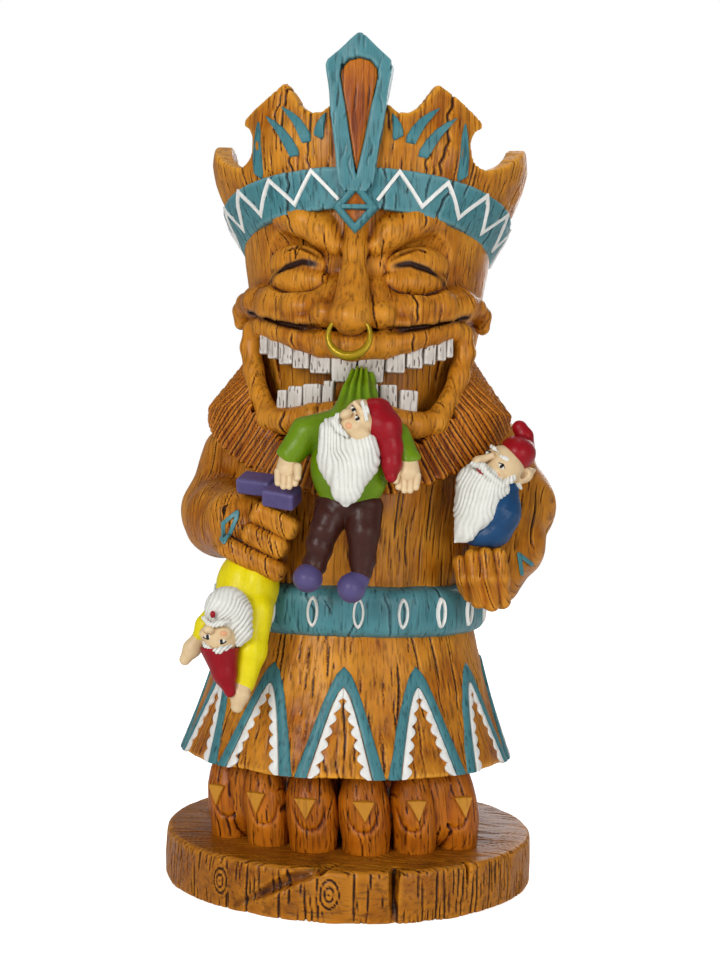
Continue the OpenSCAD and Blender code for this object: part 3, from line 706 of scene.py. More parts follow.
def make_base():
    clay = Clay([-BASE_R - 4, -BASE_R - 4, -3], [BASE_R + 4, BASE_R + 4, BASE_TOP + 3], 0.9)
    bevel = 1.6

    def slab(x, y, z):
        r = radius(x, y)
        a = angle(x, y)
        full = 1.5 * np.exp(-((a + 0.85) / 0.35) ** 2) - 0.8 * np.exp(-((a + 1.7) / 0.3) ** 2)
        side = r - (BASE_R - 0.9) - 0.5 * np.sin(3 * a + 1) - full + 0.04 * np.abs(z - BASE_TOP * 0.45)
        top = z - BASE_TOP + 0.1 - 1.3 * smoothstep(BASE_R - 30, BASE_R - 4, r)
        chamfer = (side + top) * 0.7071 + bevel * 0.62
        solid = -soft_min(-side, -top, 1.2)
        solid = np.maximum(solid, chamfer)
        return -soft_min(-solid, z + 0 * r, 1.0)
    clay.everywhere(slab)
    # the wedge crack at the front right, a thinner one beside it, and the axe cut that climbs the front
    clay.limb([29, -BASE_R - 2, 30], [27, -BASE_R + 15, 26], 4.0, 0.5, 0.8, True, (1, 1, 12))
    clay.limb([61, -BASE_R * 0.74, 30], [56, -BASE_R * 0.66, 26], 1.6, 0.4, 0.5, True, (1, 1, 12))
    axe_cut = [(-29, 2.5), (-20, 10), (-11, 18), (-4, BASE_TOP + 1)]
    ends = [[BASE_R * math.sin(math.radians(a)), -BASE_R * math.cos(math.radians(a)), z] for a, z in axe_cut]
    clay.path(ends + [[4, -74, BASE_TOP + 1]], [0.8, 2.4, 3.4, 3.0, 1.2], 0.8, True)
    cut_line = [(math.radians(a) * BASE_R, z) for a, z in axe_cut]

    def shape(v, normals):
        x, y, z = v.T
        r = radius(x, y)
        on_side = smoothstep(0.8, 0.3, normals[:, 2])
        a = angle(x, y) * BASE_R
        flat = np.column_stack([a, z, r])
        bark = np.maximum(groove_pattern(flat, 4.2, 60, 0.8, 5, 0.95),
                          0.7 * groove_pattern(flat, 2.3, 26, 0.6, 6))
        fan = np.column_stack([y + 0.35 * np.abs(x), x, z])
        plank = np.maximum(groove_pattern(fan, 4.6, 70, 0.7, 9, 0.95),
                           0.6 * groove_pattern(fan, 2.2, 40, 0.5, 8))
        depth = -1.2 * bark * on_side - 0.9 * plank * (1 - on_side)
        stain = np.maximum(bark * on_side, 0.8 * plank * (1 - on_side))
        gouge = np.clip(1 - line_distance(a, z, cut_line) / 4.0, 0, 1)
        stain = np.maximum(stain, 0.7 * gouge * (0.6 + 0.4 * noise(flat / 1.5, 4)))
        for knot_angle, knot_z, wide in ((-34.2, 12, 4.6), (0.1, 12.8, 5.1)):
            u = (np.degrees(angle(x, y)) - knot_angle) * math.radians(1) * BASE_R
            ring = np.sqrt((u / wide) ** 2 + ((z - knot_z) / (wide * 1.5)) ** 2)
            inside = (ring < 1.12) & (normals[:, 2] < 0.9)
            wave = 0.5 + 0.5 * np.cos(ring * 2 * np.pi * 2.5)
            depth = np.where(inside, 0.7 * (1 - ring) - 0.8 * wave ** 3, depth)
            stain = np.where(inside, wave ** 3, stain)
        return depth, stain
    build("base", clay, ["base_log_slice"], BASE_WOOD, grain=side_grain, shape=shape,
          lumps=0.35)


def toe_boxes():
    return [box(f"toe_{i}") for i in range(1, 7)]


def toe_round(low, high):
    """Middle and radius of a toe; the outermost ones are a little stouter and stand further forward."""
    mid = (low + high) / 2
    outer = abs(mid[0]) > 45
    return mid - [0, 3.0 * outer, 0], (high[0] - low[0]) / 2 * (1.14 if outer else 1.0)


def make_feet():
    clay = Clay([-72, -66, BASE_TOP - 3], [72, 66, HEM_Z + 9], 0.8)
    for low, high in (box("right_foot"), box("left_foot")):
        mid = (low + high) / 2
        half = (high - low) / 2
        clay.brick([mid[0], mid[1] + 2, mid[2] - 1], [half[0] + 1, half[1] - 3, half[2]], 14, k=3)
    for low, high in toe_boxes():
        mid, r = toe_round(low, high)
        clay.blob([mid[0], mid[1] + 1, BASE_TOP + 15], [r * 1.06, r * 1.14, 27], k=0.6)
        clay.limb([mid[0], mid[1], BASE_TOP + 3], [mid[0], mid[1], BASE_TOP + 22], r * 0.97, r * 1.02, 0.6)
        # U-shaped groove under the nail
        steps = np.linspace(-1, 1, 9)
        front = mid[1] - r * 1.06
        pts = [[mid[0] + t * r * 0.72, front + r * (1 - math.cos(t * 0.75)),
                BASE_TOP + 10.5 + 8 * t ** 4 + 2 * t * t] for t in steps]
        clay.path(pts, [1.0] * 9, 0.3, True)
    clay.everywhere(lambda x, y, z: BASE_TOP - 1.5 - z + 0 * x + 0 * y, keep=True)
    build("feet", clay, ["right_foot", "left_foot"] + [f"toe_{i}" for i in range(1, 7)],
          FOOT_WOOD, grooves=[(4.6, 24, 0.55, 0.6, 0.85), (2.4, 14, 0.5, 0.4, 0.45)], lumps=0.3, cavity=1.3)
    parts = []
    for low, high in toe_boxes():
        mid, r = toe_round(low, high)
        turned = -0.42 * math.atan2(mid[0], -mid[1])

        def on_toe(u, v, h, mid=mid, r=r, turned=turned):
            a = u / r - turned
            rr = r * 1.03 + h - 0.0024 * (v - BASE_TOP - 20) ** 2
            return np.column_stack([mid[0] + rr * np.sin(a), mid[1] - rr * 1.06 * np.cos(a), v + 0 * u])
        w = r * 0.43
        outline = [(-w, 25), (-w * 0.5, 25.3), (0, 25.5), (w * 0.5, 25.3), (w, 25), (w * 0.52, 20.5),
                   (0, 15.5), (-w * 0.52, 20.5)]
        parts.append(plate(np.array(outline) + [0, BASE_TOP], 1.3, on_toe, 1.6))
    relief("toenails", parts, ["toe_nails"], NAIL)


# ---- skirt and belt ----

ARCHES = 12
ARCH_H = 50.0
ARCH_TURN = 3.5
ARCH_W = 360 / ARCHES / 2


def skirt_radius(z):
    t = (z - HEM_Z) / (SKIRT_TOP - HEM_Z)
    return HEM_R + (BELT_R - 6 - HEM_R) * t - 1.6 * np.sin(np.clip(t, 0, 1) * np.pi) - 0.6


def make_skirt():
    clay = Clay([-HEM_R - 3, -HEM_R - 3, HEM_Z - 3], [HEM_R + 3, HEM_R + 3, SKIRT_TOP + 4], 0.9)

    def bell(x, y, z):
        r = radius(x, y)
        a = angle(x, y)
        wave = 0.5 * np.sin(7 * a) + 0.4 * np.sin(11 * a + 2)
        side = (r - skirt_radius(z) - 0.25 * wave) * 0.95
        low = HEM_Z + 0.8 + 0.6 * wave - z
        solid = -soft_min(-side, -low, 2.2)
        inside = r - (HEM_R - 8)
        hollow = np.maximum(inside, z - HEM_Z - 5)
        solid = -soft_min(-solid, hollow, 1.5)
        return np.maximum(solid, z - SKIRT_TOP - 1)
    clay.everywhere(bell)
    build("skirt", clay, ["skirt"], WOOD,
          grooves=CARVED, lumps=0.4)

    def arch_line(inset, count=15):
        """Points up one side of a pointed arch and down the other, in degrees and height."""
        t = np.linspace(0, 1, count)
        top = HEM_Z + ARCH_H - inset * 1.5
        base_half = ARCH_W - inset / HEM_R * 57.3
        half = base_half * (1 - t) ** 0.62
        z = HEM_Z + 1.2 + (top - HEM_Z - 1.2) * t
        left = np.column_stack([-half, z])
        right = np.column_stack([half, z])[::-1][1:]
        return np.vstack([left, right])

    surface = wrapped(skirt_radius)

    bands, trims = [], []
    for i in range(ARCHES):
        turn = ARCH_TURN + i * 360 / ARCHES
        bands.append(strip_between(arch_line(0.5) + [turn, 0], arch_line(6.6) + [turn, 0], 1.0, surface))
        start = arch_line(6.9, 121)
        lobes = np.abs(np.sin(np.linspace(0, 1, len(start)) * np.pi * 14))
        wide = np.degrees((2.2 + 2.6 * lobes) / HEM_R)
        across = np.sign(start[:, 0]) * np.maximum(np.abs(start[:, 0]) - wide, 0)
        scallop = np.column_stack([across, start[:, 1]])
        trims.append(strip_between(start + [turn, 0], scallop + [turn, 0], 0.9, surface))
    relief("skirt_bands", bands, ["skirt_arch_bands"], TEAL)
    relief("skirt_trim", trims, ["skirt_scallop_trim"], WHITE)


def belt_radius(z):
    mid = (BELT_LOW[2] + BELT_HIGH[2]) / 2
    half = (BELT_HIGH[2] - BELT_LOW[2]) / 2
    t = np.clip((z - mid) / half, -1, 1)
    return BELT_R - 1.2 - 6.5 * (1 - np.sqrt(np.maximum(1 - t ** 4, 0)))


def make_belt():
    z0, z1 = BELT_LOW[2], BELT_HIGH[2]
    clay = Clay([-BELT_R - 3, -BELT_R - 3, z0 - 3], [BELT_R + 3, BELT_R + 3, z1 + 3], 0.8)

    def roll(x, y, z):
        r = radius(x, y)
        a = angle(x, y)
        crease = 0.35 * np.sin(23 * a + 0.05 * z) + 0.3 * np.sin(14 * a + 1)
        side = (r - belt_radius(z) - crease) * 0.9
        solid = np.maximum(side, np.abs(z - (z0 + z1) / 2) - (z1 - z0) / 2 - 0.4)
        return np.maximum(solid, BELT_R - 16 - r)
    clay.everywhere(roll)
    build("belt", clay, ["belt"], TEAL,
          grooves=BRUSHED, lumps=0.35)
    ovals = []
    mid = (z0 + z1) / 2
    for i in range(20):
        centre = (i + 0.5) * 18 - 0.6
        t = np.linspace(0, 2 * np.pi, 24, endpoint=False)
        across = 2.35 * np.sin(t) * np.abs(np.sin(t)) ** 0.25
        outline = np.column_stack([centre + across, mid + 7.2 * np.cos(t)])
        inner = [centre, mid] + (outline - [centre, mid]) * [0.56, 0.74]
        ovals.append(strip_between(outline, inner, 1.35, wrapped(belt_radius), ROUND_TOP, True))
    relief("belt_ovals", ovals, ["belt_ovals"], WHITE)


def make_torso():
    z0, z1 = TORSO_LOW[2], TORSO_HIGH[2]
    r0 = TORSO_R
    clay = Clay([-r0 - 14, -r0 - 5, z0 - 3], [r0 + 14, r0 + 5, z1 + 10], 0.9)

    def log(x, y, z):
        r = radius(x, y)
        t = np.clip((z - z0) / (z1 - z0), 0, 1)
        side = (r - (r0 - 2.2 + 2.2 * t - 8 * np.maximum(t - 0.72, 0) * 2)) * 0.95
        return np.maximum(np.maximum(side, z0 - 1 - z), z - z1 - 4)
    clay.everywhere(log)
    build("torso", clay, ["torso"], WOOD,
          grooves=CARVED, lumps=0.5)


# ---- arms ----

def make_right_arm():
    at = middle("right_fist")
    clay = Clay([-53.3, -23.4, -25.5], [28.7, 96.6, 66.5], 0.6, at)
    clay.path([[-11.3, 74.6, 42.5], [-19.3, 69.6, 36.5], [-26.1, 58.6, 10.5]], [20, 19, 20], 6)
    clay.path([[-26.1, 58.6, 10.5], [-21.8, 32.6, 7.5], [-9.3, 10.6, 4.5]], [20, 17.4, 15.5], 4)
    clay.blob([-3.3, 4.6, 2.5], [13, 11, 17], k=3)
    clay.blob([-10.3, 7.6, 10.5], [14, 12, 12.5], k=4)
    # three flat fingers that slant down across the gnome
    for centre, length, thick in (((9.5, -5.9, 8.8), 11.4, 5.1), ((5.3, -5.9, -0.5), 10.8, 4.8),
                                  ((-0.5, -5.4, -8.7), 16.4, 4.7)):
        clay.brick(centre, [length, 7, thick], 3.6, (0, 24, 0), 0.7)
    for x0, lift in ((-12.8, 0), (-16.8, 2)):
        crease = [[x0 - 2, -3.4, lift - 12.5], [x0, -6.4, lift + 0.5], [x0 + 3, -2.4, 14.5]]
        clay.path(crease, [0.7, 0.8, 0.6], 1, True)
    clay.everywhere(lambda x, y, z: radius(x, y) - TORSO_R + 5 + 0 * z, cut=True)
    build("right_arm", clay, ["right_upper_arm", "right_forearm", "right_fist"], WOOD,
          grain=arm_grain, grooves=ARM_CARVED, lumps=0.45, cavity=1.3)
    return clay


def arm_grain(v):
    """Wood coordinates for arms: strokes run down the upper arm and across the forearm, nearly upright."""
    x, y, z = v.T
    return np.column_stack([1.25 * x - 0.55 * y + 0.22 * (z - 170), z - 0.2 * x, radius(x, y)])


def make_left_arm():
    at = middle("left_hand")
    clay = Clay([-23.5, -24.7, -20.8], [38.5, 81.3, 87.2], 0.6, at)
    clay.path([[-7.5, 59.3, 63.2], [1.5, 55.3, 57.2], [14, 48.3, 34.2]], [20, 20, 20.6], 6)
    clay.path([[14, 48.3, 34.2], [12.5, 29.3, 16.2], [5.5, 11.3, 1.7]], [20.4, 16.8, 13.6], 4)
    clay.blob([1.5, 5.3, 1.2], [13, 11, 12], k=3)
    # four fingers side by side, folded down over the hand
    for top, end in (((-9.3, -3.7, 8.7), (-4.5, -1.7, -5.3)), ((-4.1, -6.2, 12), (-0.3, -4.7, -8)),
                     ((1.7, -6.2, 13), (4.9, -3.7, -9.2)), ((7.7, -3.7, 12.7), (10.1, 0.3, -7.8))):
        knuckle = [(a + b) / 2 for a, b in zip(top, end)]
        knuckle[1] -= 2.6
        clay.path([top, knuckle, end], [3.6, 4.3, 4.2], 0.8)
    clay.everywhere(lambda x, y, z: radius(x, y) - TORSO_R + 5 + 0 * z, cut=True)
    build("left_arm", clay, ["left_upper_arm", "left_forearm", "left_hand"], WOOD,
          grain=arm_grain, grooves=ARM_CARVED, lumps=0.45, cavity=1.3)
    return clay


def make_arm_marks(right_arm, left_arm):
    """An open lozenge on the right wrist and an open V, point up, on the left forearm, raised on the arm."""
    lozenge = [(-8.2, 12.1), (-14.5, 6.8), (-14.3, 0.7), (-12.5, -1.3), (-8.2, 9.5), (-8.2, 12.1)]
    open_v = [(19, 4), (17.3, 13), (23.7, 8)]
    for name, arm, line, front, back in (("wrist_mark", right_arm, lozenge, -17.4, 16.6),
                                         ("forearm_mark", left_arm, open_v, -12.7, 31.3)):
        low, high = np.min(line, 0) - 3, np.max(line, 0) + 3
        clay = Clay([low[0], front, low[1]], [high[0], back, high[1]], 0.3, arm.at)
        line = np.array(line) + arm.at[[0, 2]]
        clay.everywhere(lambda x, y, z: np.maximum(np.abs(arm.sample(x, y, z) - 0.1) - 0.9,
                                                   line_distance(x, z, line) - 0.95))
        build(name, clay, ["arm_marks"], TEAL, lumps=0)


# ---- beard ----

BEARD_LOW, BEARD_HIGH = box("beard")
BEARD_EDGE = 75


def make_beard():
    top, low = BEARD_HIGH[2], BEARD_LOW[2]
    clay = Clay([-82, -82, low - 3], [82, 4, top + 3], 0.7)
    turns = [0, 20, 35, 47, 57, 67, 75]
    hem_height = [1.5, 5, 11, 17, 24, 31, 36]

    def strand_line(x, y, z):
        """A number that stays the same along one strand, as the beard fans out."""
        return np.degrees(angle(x, y)) * np.exp(0.012 * (z - low - 20))

    def fan(x, y, z):
        r = radius(x, y)
        a = np.abs(np.degrees(angle(x, y)))
        side = smoothstep(22, 66, a)
        front_r = 65 + 0.3 * np.clip(low + 30 - z, -4, 40)
        side_r = 58 + 0.74 * np.clip(top - 4 - z, -4, 25)
        outer = front_r + (side_r - front_r) * side
        jag = 1.3 * np.abs((strand_line(x, y, z) / 6.2) % 1 - 0.5) * 2
        hem = low + np.interp(a, turns, hem_height) + jag
        d = np.maximum(r - outer, 47 - r)
        d = -soft_min(-d, -(hem - z) * 0.85, 1.5)
        roof = np.interp(a, [30, 50, 62], [low + 29, low + 58, top])
        d = -soft_min(-d, -(z - roof), 2.0)
        return -soft_min(-d, -(a - BEARD_EDGE) * 1.2, 1.5)
    clay.everywhere(fan)
    # nothing of it inside the open mouth

    def mouth(x, y, z):
        return np.maximum(np.maximum(np.abs(x - AXIS_X) - 47, HEAD_Z + 10 - z), y + 20)
    clay.everywhere(mouth, 1.0, True)

    def strands(v, normals):
        x, y, z = v.T
        s = strand_line(x, y, z)
        wander = noise(np.column_stack([s / 16, z / 34, 0 * s]), 41)
        lock = (s / 6.2 + 0.30 * wander) % 1
        hair = (s / 2.05 + 0.9 * wander) % 1
        big = np.exp(-((lock - 0.5) / 0.075) ** 2) * (0.55 + 0.45 * scatter(np.floor(s / 6.2), 3))
        row = np.floor(z / 17 + 5 * scatter(np.floor(s / 2.05), 9))
        fine_on = scatter(np.floor(s / 2.05 + 0.9 * wander), row, 6)
        small = np.exp(-((hair - 0.5) / 0.15) ** 2) * (0.35 + 0.65 * fine_on)
        swell = 0.6 * np.cos(2 * np.pi * lock)
        return -1.5 * big - 0.75 * small - swell, np.maximum(big * 0.95, small * 0.6)
    build("beard", clay, ["beard"], BEARD_WOOD, lumps=0.3, shape=strands)


# ---- head ----

def make_head():
    z = HEAD_Z
    clay = Clay([-70, -90, z - 6], [70, HEAD_R + 5, HEAD_HIGH[2] + 1], 0.75)
    profile = ([0, 20, 40, 55, 70, 84, 94, 108], [46, 49, 54, 57, 57.8, 60.0, 61.2, 61.6])

    def skull(x, y, zz):
        wide = np.interp(zz - z, *profile)
        return np.maximum(np.maximum(radius(x, y) - wide, z - 2 - zz), zz - HEAD_HIGH[2])
    clay.everywhere(skull)
    for s in (-1, 1):
        # cheek, from the side of the nose out to the temple
        clay.path([[s * 13, -62, z + 58], [s * 26, -56.5, z + 58], [s * 38, -48, z + 60.5],
                   [s * 48, -36, z + 63],
                   [s * 54, -24, z + 62]], [6.5, 7.6, 7.6, 7, 5.5], 5)
        clay.blob([s * 9, -58, z + 62], [9, 7.5, 10], (0, 0, s * 10), 5)
        # eye socket, and the forehead's pad that hangs over its inner end
        clay.blob([s * 31, -56.2, z + 80], [21.5, 11.6, 15.2], (0, -s * 15, s * 29), 1.2, True)
        clay.path([[s * 9.5, -60.3, z + 86.5], [s * 16, -58.2, z + 93], [s * 25, -54.4, z + 98.5],
                   [s * 35, -48.0, z + 102.5]], [4.0, 6.6, 7.0, 6.4], 3)
        # closed eye: upper lid with its fold, bulge below the slit
        clay.blob([s * 28, -50.2, z + 79], [15.6, 4.8, 9.2], (0, -s * 8, s * 28), 1.4)
        clay.blob([s * 26.8, -51.2, z + 71.4], [16.4, 6.4, 7.0], (0, -s * 4, s * 27), 1.0)
    # nose
    clay.path([[0, -59.5, z + 100], [0, -63.4, z + 84], [0, -66.6, z + 70], [0, -70.6, z + 58]],
              [4.6, 4.9, 6.2, 8.8], 3.0)
    clay.blob([0, -73.5, z + 52.5], [10, 10.5, 8], k=3)
    for s in (-1, 1):
        clay.blob([s * 12.5, -66, z + 54.5], [7.4, 7.5, 6.2], (0, 0, s * 20), 3)
        clay.blob([s * 8.5, -73.5, z + 46.8], [3.2, 4.2, 2.2], (0, 0, s * 25), 1.2, True)
        # rolled edge of the cheek over the lip, ending in a curl at the side
        clay.path([[s * 17, -66, z + 51.5], [s * 24, -62.5, z + 51.0], [s * 34, -55.5, z + 54],
                   [s * 42, -48, z + 57.5],
                   [s * 50, -39, z + 62.5], [s * 55.5, -29, z + 63.5], [s * 58.5, -23, z + 60],
                   [s * 58.5, -21, z + 54.5]], [2.6, 3.0, 3.6, 4.0, 3.9, 3.8, 3.8, 3.6], 2.2)

    # the open mouth, cut first, then the rolls of wood round it
    def mouth(x, y, zz):
        u = np.abs(x - AXIS_X)
        high = z + 36 + 8.5 * (u / 42) ** 2 - zz
        low = zz - (z + 15 - 7 * (u / 36) ** 2)
        side = 40.5 - 0.2 * (z + 44 - zz) - u
        front = np.minimum(radius(x, y) - 49.5, AXIS_Y - 12 - y)
        return -np.minimum(np.minimum(high, low), np.minimum(side, front))
    clay.everywhere(mouth, 1.5, True)
    for s in (-1, 1):
        clay.path([[0, -64.5, z + 40], [s * 14, -63.4, z + 41.2], [s * 25, -59.4, z + 44],
                   [s * 36, -51.8, z + 47.6],
                   [s * 44, -44, z + 50.3], [s * 49, -38, z + 49]], [6.6, 6.2, 5.6, 5.0, 4.8, 5.0], 1.6)
        clay.path([[s * 49, -38, z + 49], [s * 50.5, -37.5, z + 41], [s * 48.5, -40.5, z + 30],
                   [s * 44.5, -46, z + 18],
                   [s * 38.5, -52, z + 7.5]], [5.2, 5.0, 4.8, 4.6, 5.6], 2.2)
        clay.path([[s * 38.5, -52, z + 7.5], [s * 30, -58, z + 5.6], [s * 17, -64.5, z + 8.6],
                   [0, -67, z + 11]],
                  [5.6, 5.8, 5.2, 5.0], 2.0)
        for line in face_lines(s):
            clay.path(line, [0.6] + [0.9] * (len(line) - 2) + [0.6], 0.6, True)
    clay.everywhere(lambda x, y, zz: z - 4 - zz + 0 * x + 0 * y, keep=True)
    build("head", clay, ["head", "brows", "eyelids", "nose", "upper_lip", "lower_lip", "cheek_scrolls"],
          WOOD, grooves=[(9.0, 30, 0.5, 0.7, 0.7), (3.8, 20, 0.5, 0.35, 0.2)], lumps=0.2,
          shape=face_cracks)


def cracks_at(v, foot, lines):
    """Long drying cracks. Each line is its angle, its lean in degrees per millimetre, the heights of its
    low and high ends over foot, and its half width in degrees."""
    x, y, z = v.T
    a = np.degrees(angle(x, y))
    depth = np.zeros(len(v))
    for a0, tilt, low, high, wide in lines:
        low, high = foot + low, foot + high
        wander = 0.7 * np.sin(z * 0.31) + 0.35 * np.sin(z * 0.83)
        line = np.clip(1 - np.abs((a - a0 - tilt * (z - low) - wander) / wide), 0, 1)
        ends = smoothstep(0, 4, z - low) * smoothstep(0, 4, high - z)
        depth = np.maximum(depth, line * ends)
    return depth


def face_lines(s):
    """Eye slit, fold of the lid and the line between cheek and lip, on the side s."""
    z = HEAD_Z
    return [[[s * 11.5, -62.0, z + 74.5], [s * 17, -60.6, z + 77.8], [s * 25, -57.2, z + 79.3],
             [s * 33, -52.8, z + 77.0], [s * 39.5, -47.4, z + 71.5]],
            [[s * 14, -60, z + 79.5], [s * 21, -56.4, z + 84], [s * 28.5, -52.6, z + 87.5],
             [s * 35, -48.8, z + 82], [s * 42, -43.6, z + 72.5]],
            [[s * 17, -68, z + 47.8], [s * 24, -65, z + 48.4], [s * 34, -58, z + 50.8],
             [s * 43, -50, z + 54.4], [s * 51, -40.5, z + 57.6]]]


def near_line(v, line, reach):
    """1 on the line through the points and 0 at reach from it."""
    best = np.full(len(v), 1e9)
    for p, q in zip(np.array(line[:-1], float), np.array(line[1:], float)):
        t = np.clip(((v - p) @ (q - p)) / ((q - p) @ (q - p)), 0, 1)
        best = np.minimum(best, ((v - p - t[:, None] * (q - p)) ** 2).sum(1))
    return np.clip(1 - np.sqrt(best) / reach, 0, 1)


def face_cracks(v, normals):
    depth = cracks_at(v, HEAD_Z, [(-27, -0.12, 80, 108, 0.9), (24, 0.03, 50, 68, 0.8),
                                  (27, 0.25, 94, 108, 0.8), (24, 0.02, 36, 48, 0.8),
                                  (-23, 0.0, 38, 47, 0.8), (-26, 0.05, -2, 12, 0.8)])
    ink = np.zeros(len(v))
    for s in (-1, 1):
        slit, fold, lip = face_lines(s)
        for line, reach, dark in ((slit, 2.6, 1.5), (fold, 2.2, 0.7), (lip, 3.2, 1.2)):
            ink = np.maximum(ink, np.clip(near_line(v, line, reach) * dark, 0, 1))
    return -1.1 * depth, np.maximum(depth, ink)


def tooth_row(name, places, edge, height, turned):
    """One row of square teeth round the gum. edge gives the height of the biting edge at x."""
    clay = Clay([-47, -76, HEAD_Z + 2], [47, -38, HEAD_Z + 52], 0.45)
    for i, (x, wide, extra) in enumerate(places):
        y = -math.sqrt(62.6 ** 2 - x * x)
        turn = math.degrees(math.asin(x / 64)) * 0.9
        low, high = sorted((edge(x) - turned * extra, edge(x) + turned * height))
        half = wide / 2 / math.cos(math.radians(turn)) ** 0.6 - 0.15
        clay.brick([x, y, (low + high) / 2], [half, 3.0, (high - low) / 2], 0.8,
                   (0, 2.2 * math.sin(i * 2.3), turn))
    build(name, clay, [name], TOOTH,
          grooves=[(1.9, 8, 0.4, 0.45, 0.75)], lumps=0.15, cavity=1.6)


def make_teeth():
    z = HEAD_Z
    # each tooth's place, width and how much longer it is than the row's edge
    upper = [(-41.5, 4.6, 0), (-36.6, 5.4, 0), (-30.4, 7.0, 0.3), (-22.8, 8.0, 0), (-13.9, 9.4, 0.4),
             (-3.2, 11.6, 3.4), (8.8, 12.0, 3.4), (19.3, 8.8, 0.3), (27.6, 7.4, 0), (34.2, 5.6, 0.2),
             (39.0, 4.2, 0), (42.6, 3.2, 0)]
    lower = [(-31.5, 5.2, 0), (-25.2, 7.0, 0.4), (-17.2, 8.4, 0), (-10.0, 5.2, 0.6), (9.8, 5.4, 0),
             (16.8, 8.0, 0.5), (25.6, 8.2, 0)]
    tooth_row("upper_teeth", upper, lambda x: z + 27.4 + 10 * (abs(x) / 42) ** 2.2, 15, 1)
    tooth_row("lower_teeth", lower, lambda x: z + 24.5 - 4.4 * (abs(x) / 32) ** 1.6, 13, -1)


def make_nose_ring():
    low, high = box("nose_ring")
    centre = (low + high) / 2
    r = (high[0] - low[0]) / 2 - 1.4
    cz = low[2] + r + 1.2
    n, m = 40, 12
    verts, faces = [], []
    for i in range(n):
        t = math.radians(-128 + 256 * i / (n - 1))
        thick = 0.85 + 1.25 * math.cos(t * 0.62) ** 2
        px, pz = r * math.sin(t), -r * 0.98 * math.cos(t)
        for k in range(m):
            b = 2 * math.pi * k / m
            rr = 1 + thick * math.cos(b) / r
            y = centre[1] - 0.6 + thick * 0.9 * math.sin(b) + 1.1 * (1 - math.cos(t))
            verts.append((centre[0] + px * rr, y, cz + pz * rr))
    for i in range(n - 1):
        for k in range(m):
            j = (k + 1) % m
            faces.append((i * m + k, i * m + j, (i + 1) * m + j, (i + 1) * m + k))
    faces.append(tuple(range(m)))
    faces.append(tuple((n - 1) * m + k for k in range(m))[::-1])
    relief("nose_ring", [(np.array(verts), faces)], ["nose_ring"], GOLD)


# ---- crown ----

RIM_R = (CROWN_HIGH[0] - CROWN_LOW[0]) / 2 - 0.8
TOP_Z = HEAD_HIGH[2]
# The rim's height over the head, at turns from the front to the back: prongs and horns, both sides alike
RIM_TURNS = [0, 12, 15, 20, 24, 31.5, 40, 50.5, 51.5, 53, 58, 65, 72, 80, 86, 93, 100, 106, 112, 120, 126,
             134, 142, 150,
             156, 162, 172, 180]
RIM = [42, 42, 39, 39, 42, 53.5, 47.5, 39.5, 30, 17.5, 19, 22.5, 27.5, 33, 35.5, 35.5, 30, 23, 19, 20,
       28, 39, 39, 30, 22, 21, 33, 39]
BITE_TURN, BITE_Z, BITE_R = 52.5, TOP_Z + 27, 9.0


def crown_outer(a, z):
    """Outer radius of the crown's wall: tucked in under the band, flared above it, less so at the front."""
    flare = np.interp(z - TOP_Z, [-22, -13, -4, 6, 16, 25, 34, 56], [0, 1.6, 4.6, 9.2, 13.4, 15.6, 14.6, 13])
    front = 0.25 + 0.75 * np.sin(np.minimum(np.abs(a), np.pi / 2)) ** 2
    tuck = 0.34 * np.maximum(band_height(a) + 4 - z, 0) * smoothstep(0.5, 1.1, np.abs(a))
    return RIM_R - 15.6 + flare * front - tuck


def rim_height(a):
    return TOP_Z + np.interp(np.abs(np.degrees(a)), RIM_TURNS, RIM)


BAND_MID = TOP_Z + 4
BAND_DROP = 63 * math.tan(math.radians(13))
BAND_HALF = 9.4


def band_height(a):
    return BAND_MID - BAND_DROP * (1 - np.cos(a))


def make_crown():
    clay = Clay([-84, -84, TOP_Z - 42], [84, 84, CROWN_HIGH[2] + 6], 0.9)

    def wall(x, y, z):
        r = radius(x, y)
        a = angle(x, y)
        outer = crown_outer(a, z)
        side = smoothstep(0.9, 1.4, np.abs(a))
        thick = np.interp(z - TOP_Z, [-22, 0, 28, 56], [5, 7.5, 7.0, 6.0])
        thick = thick + 2.5 * side * smoothstep(TOP_Z + 3, TOP_Z + 23, z)
        d = np.maximum(r - outer, outer - thick - r) * 0.9
        top = (z - rim_height(a)) * 0.6
        d = -soft_min(-d, -top, 1.3)
        bite = np.hypot((np.degrees(np.abs(a)) - BITE_TURN) * 1.24, z - BITE_Z) - BITE_R
        d = -soft_min(-d, bite, 1.3)
        return np.maximum(d, band_height(a) - 5 - z)
    clay.everywhere(wall)
    # floor of the crown's hollow
    floor_z = HEAD_HIGH[2] + 1.5
    clay.everywhere(lambda x, y, z: np.maximum(radius(x, y) - 60, np.abs(z - floor_z) - 2.2), 3)

    def shape(v, normals):
        depth = cracks_at(v, TOP_Z, [(-27, 0.0, 6, 26, 0.7), (-19, -0.10, 12, 30, 0.6),
                                     (33, 0.1, 10, 52, 0.8), (27, 0.12, 10, 28, 0.6), (-35, 0.1, 28, 50, 0.6),
                                     (140, 0.1, -12, 38, 0.8), (-120, 0.05, -12, 23, 0.8),
                                     (165, 0.0, -17, 23, 0.8)])
        # Painted highlight: faces high on the rim that point upwards are made paler, as light from above would
        # make them.
        lit_top_face = smoothstep(0.35, 0.8, normals[:, 2]) * smoothstep(TOP_Z + 12, TOP_Z + 20, v[:, 2])
        return -1.1 * depth, depth, 0.9 * lit_top_face
    build("crown", clay, ["crown"], WOOD, grain=crown_grain,
          grooves=CARVED, lumps=0.35, shape=shape)


def crown_grain(v):
    """Grain up the wall, with the end grain of the rim running outwards."""
    coords = upright_grain(v)
    coords[:, 0] *= 1.15
    return coords


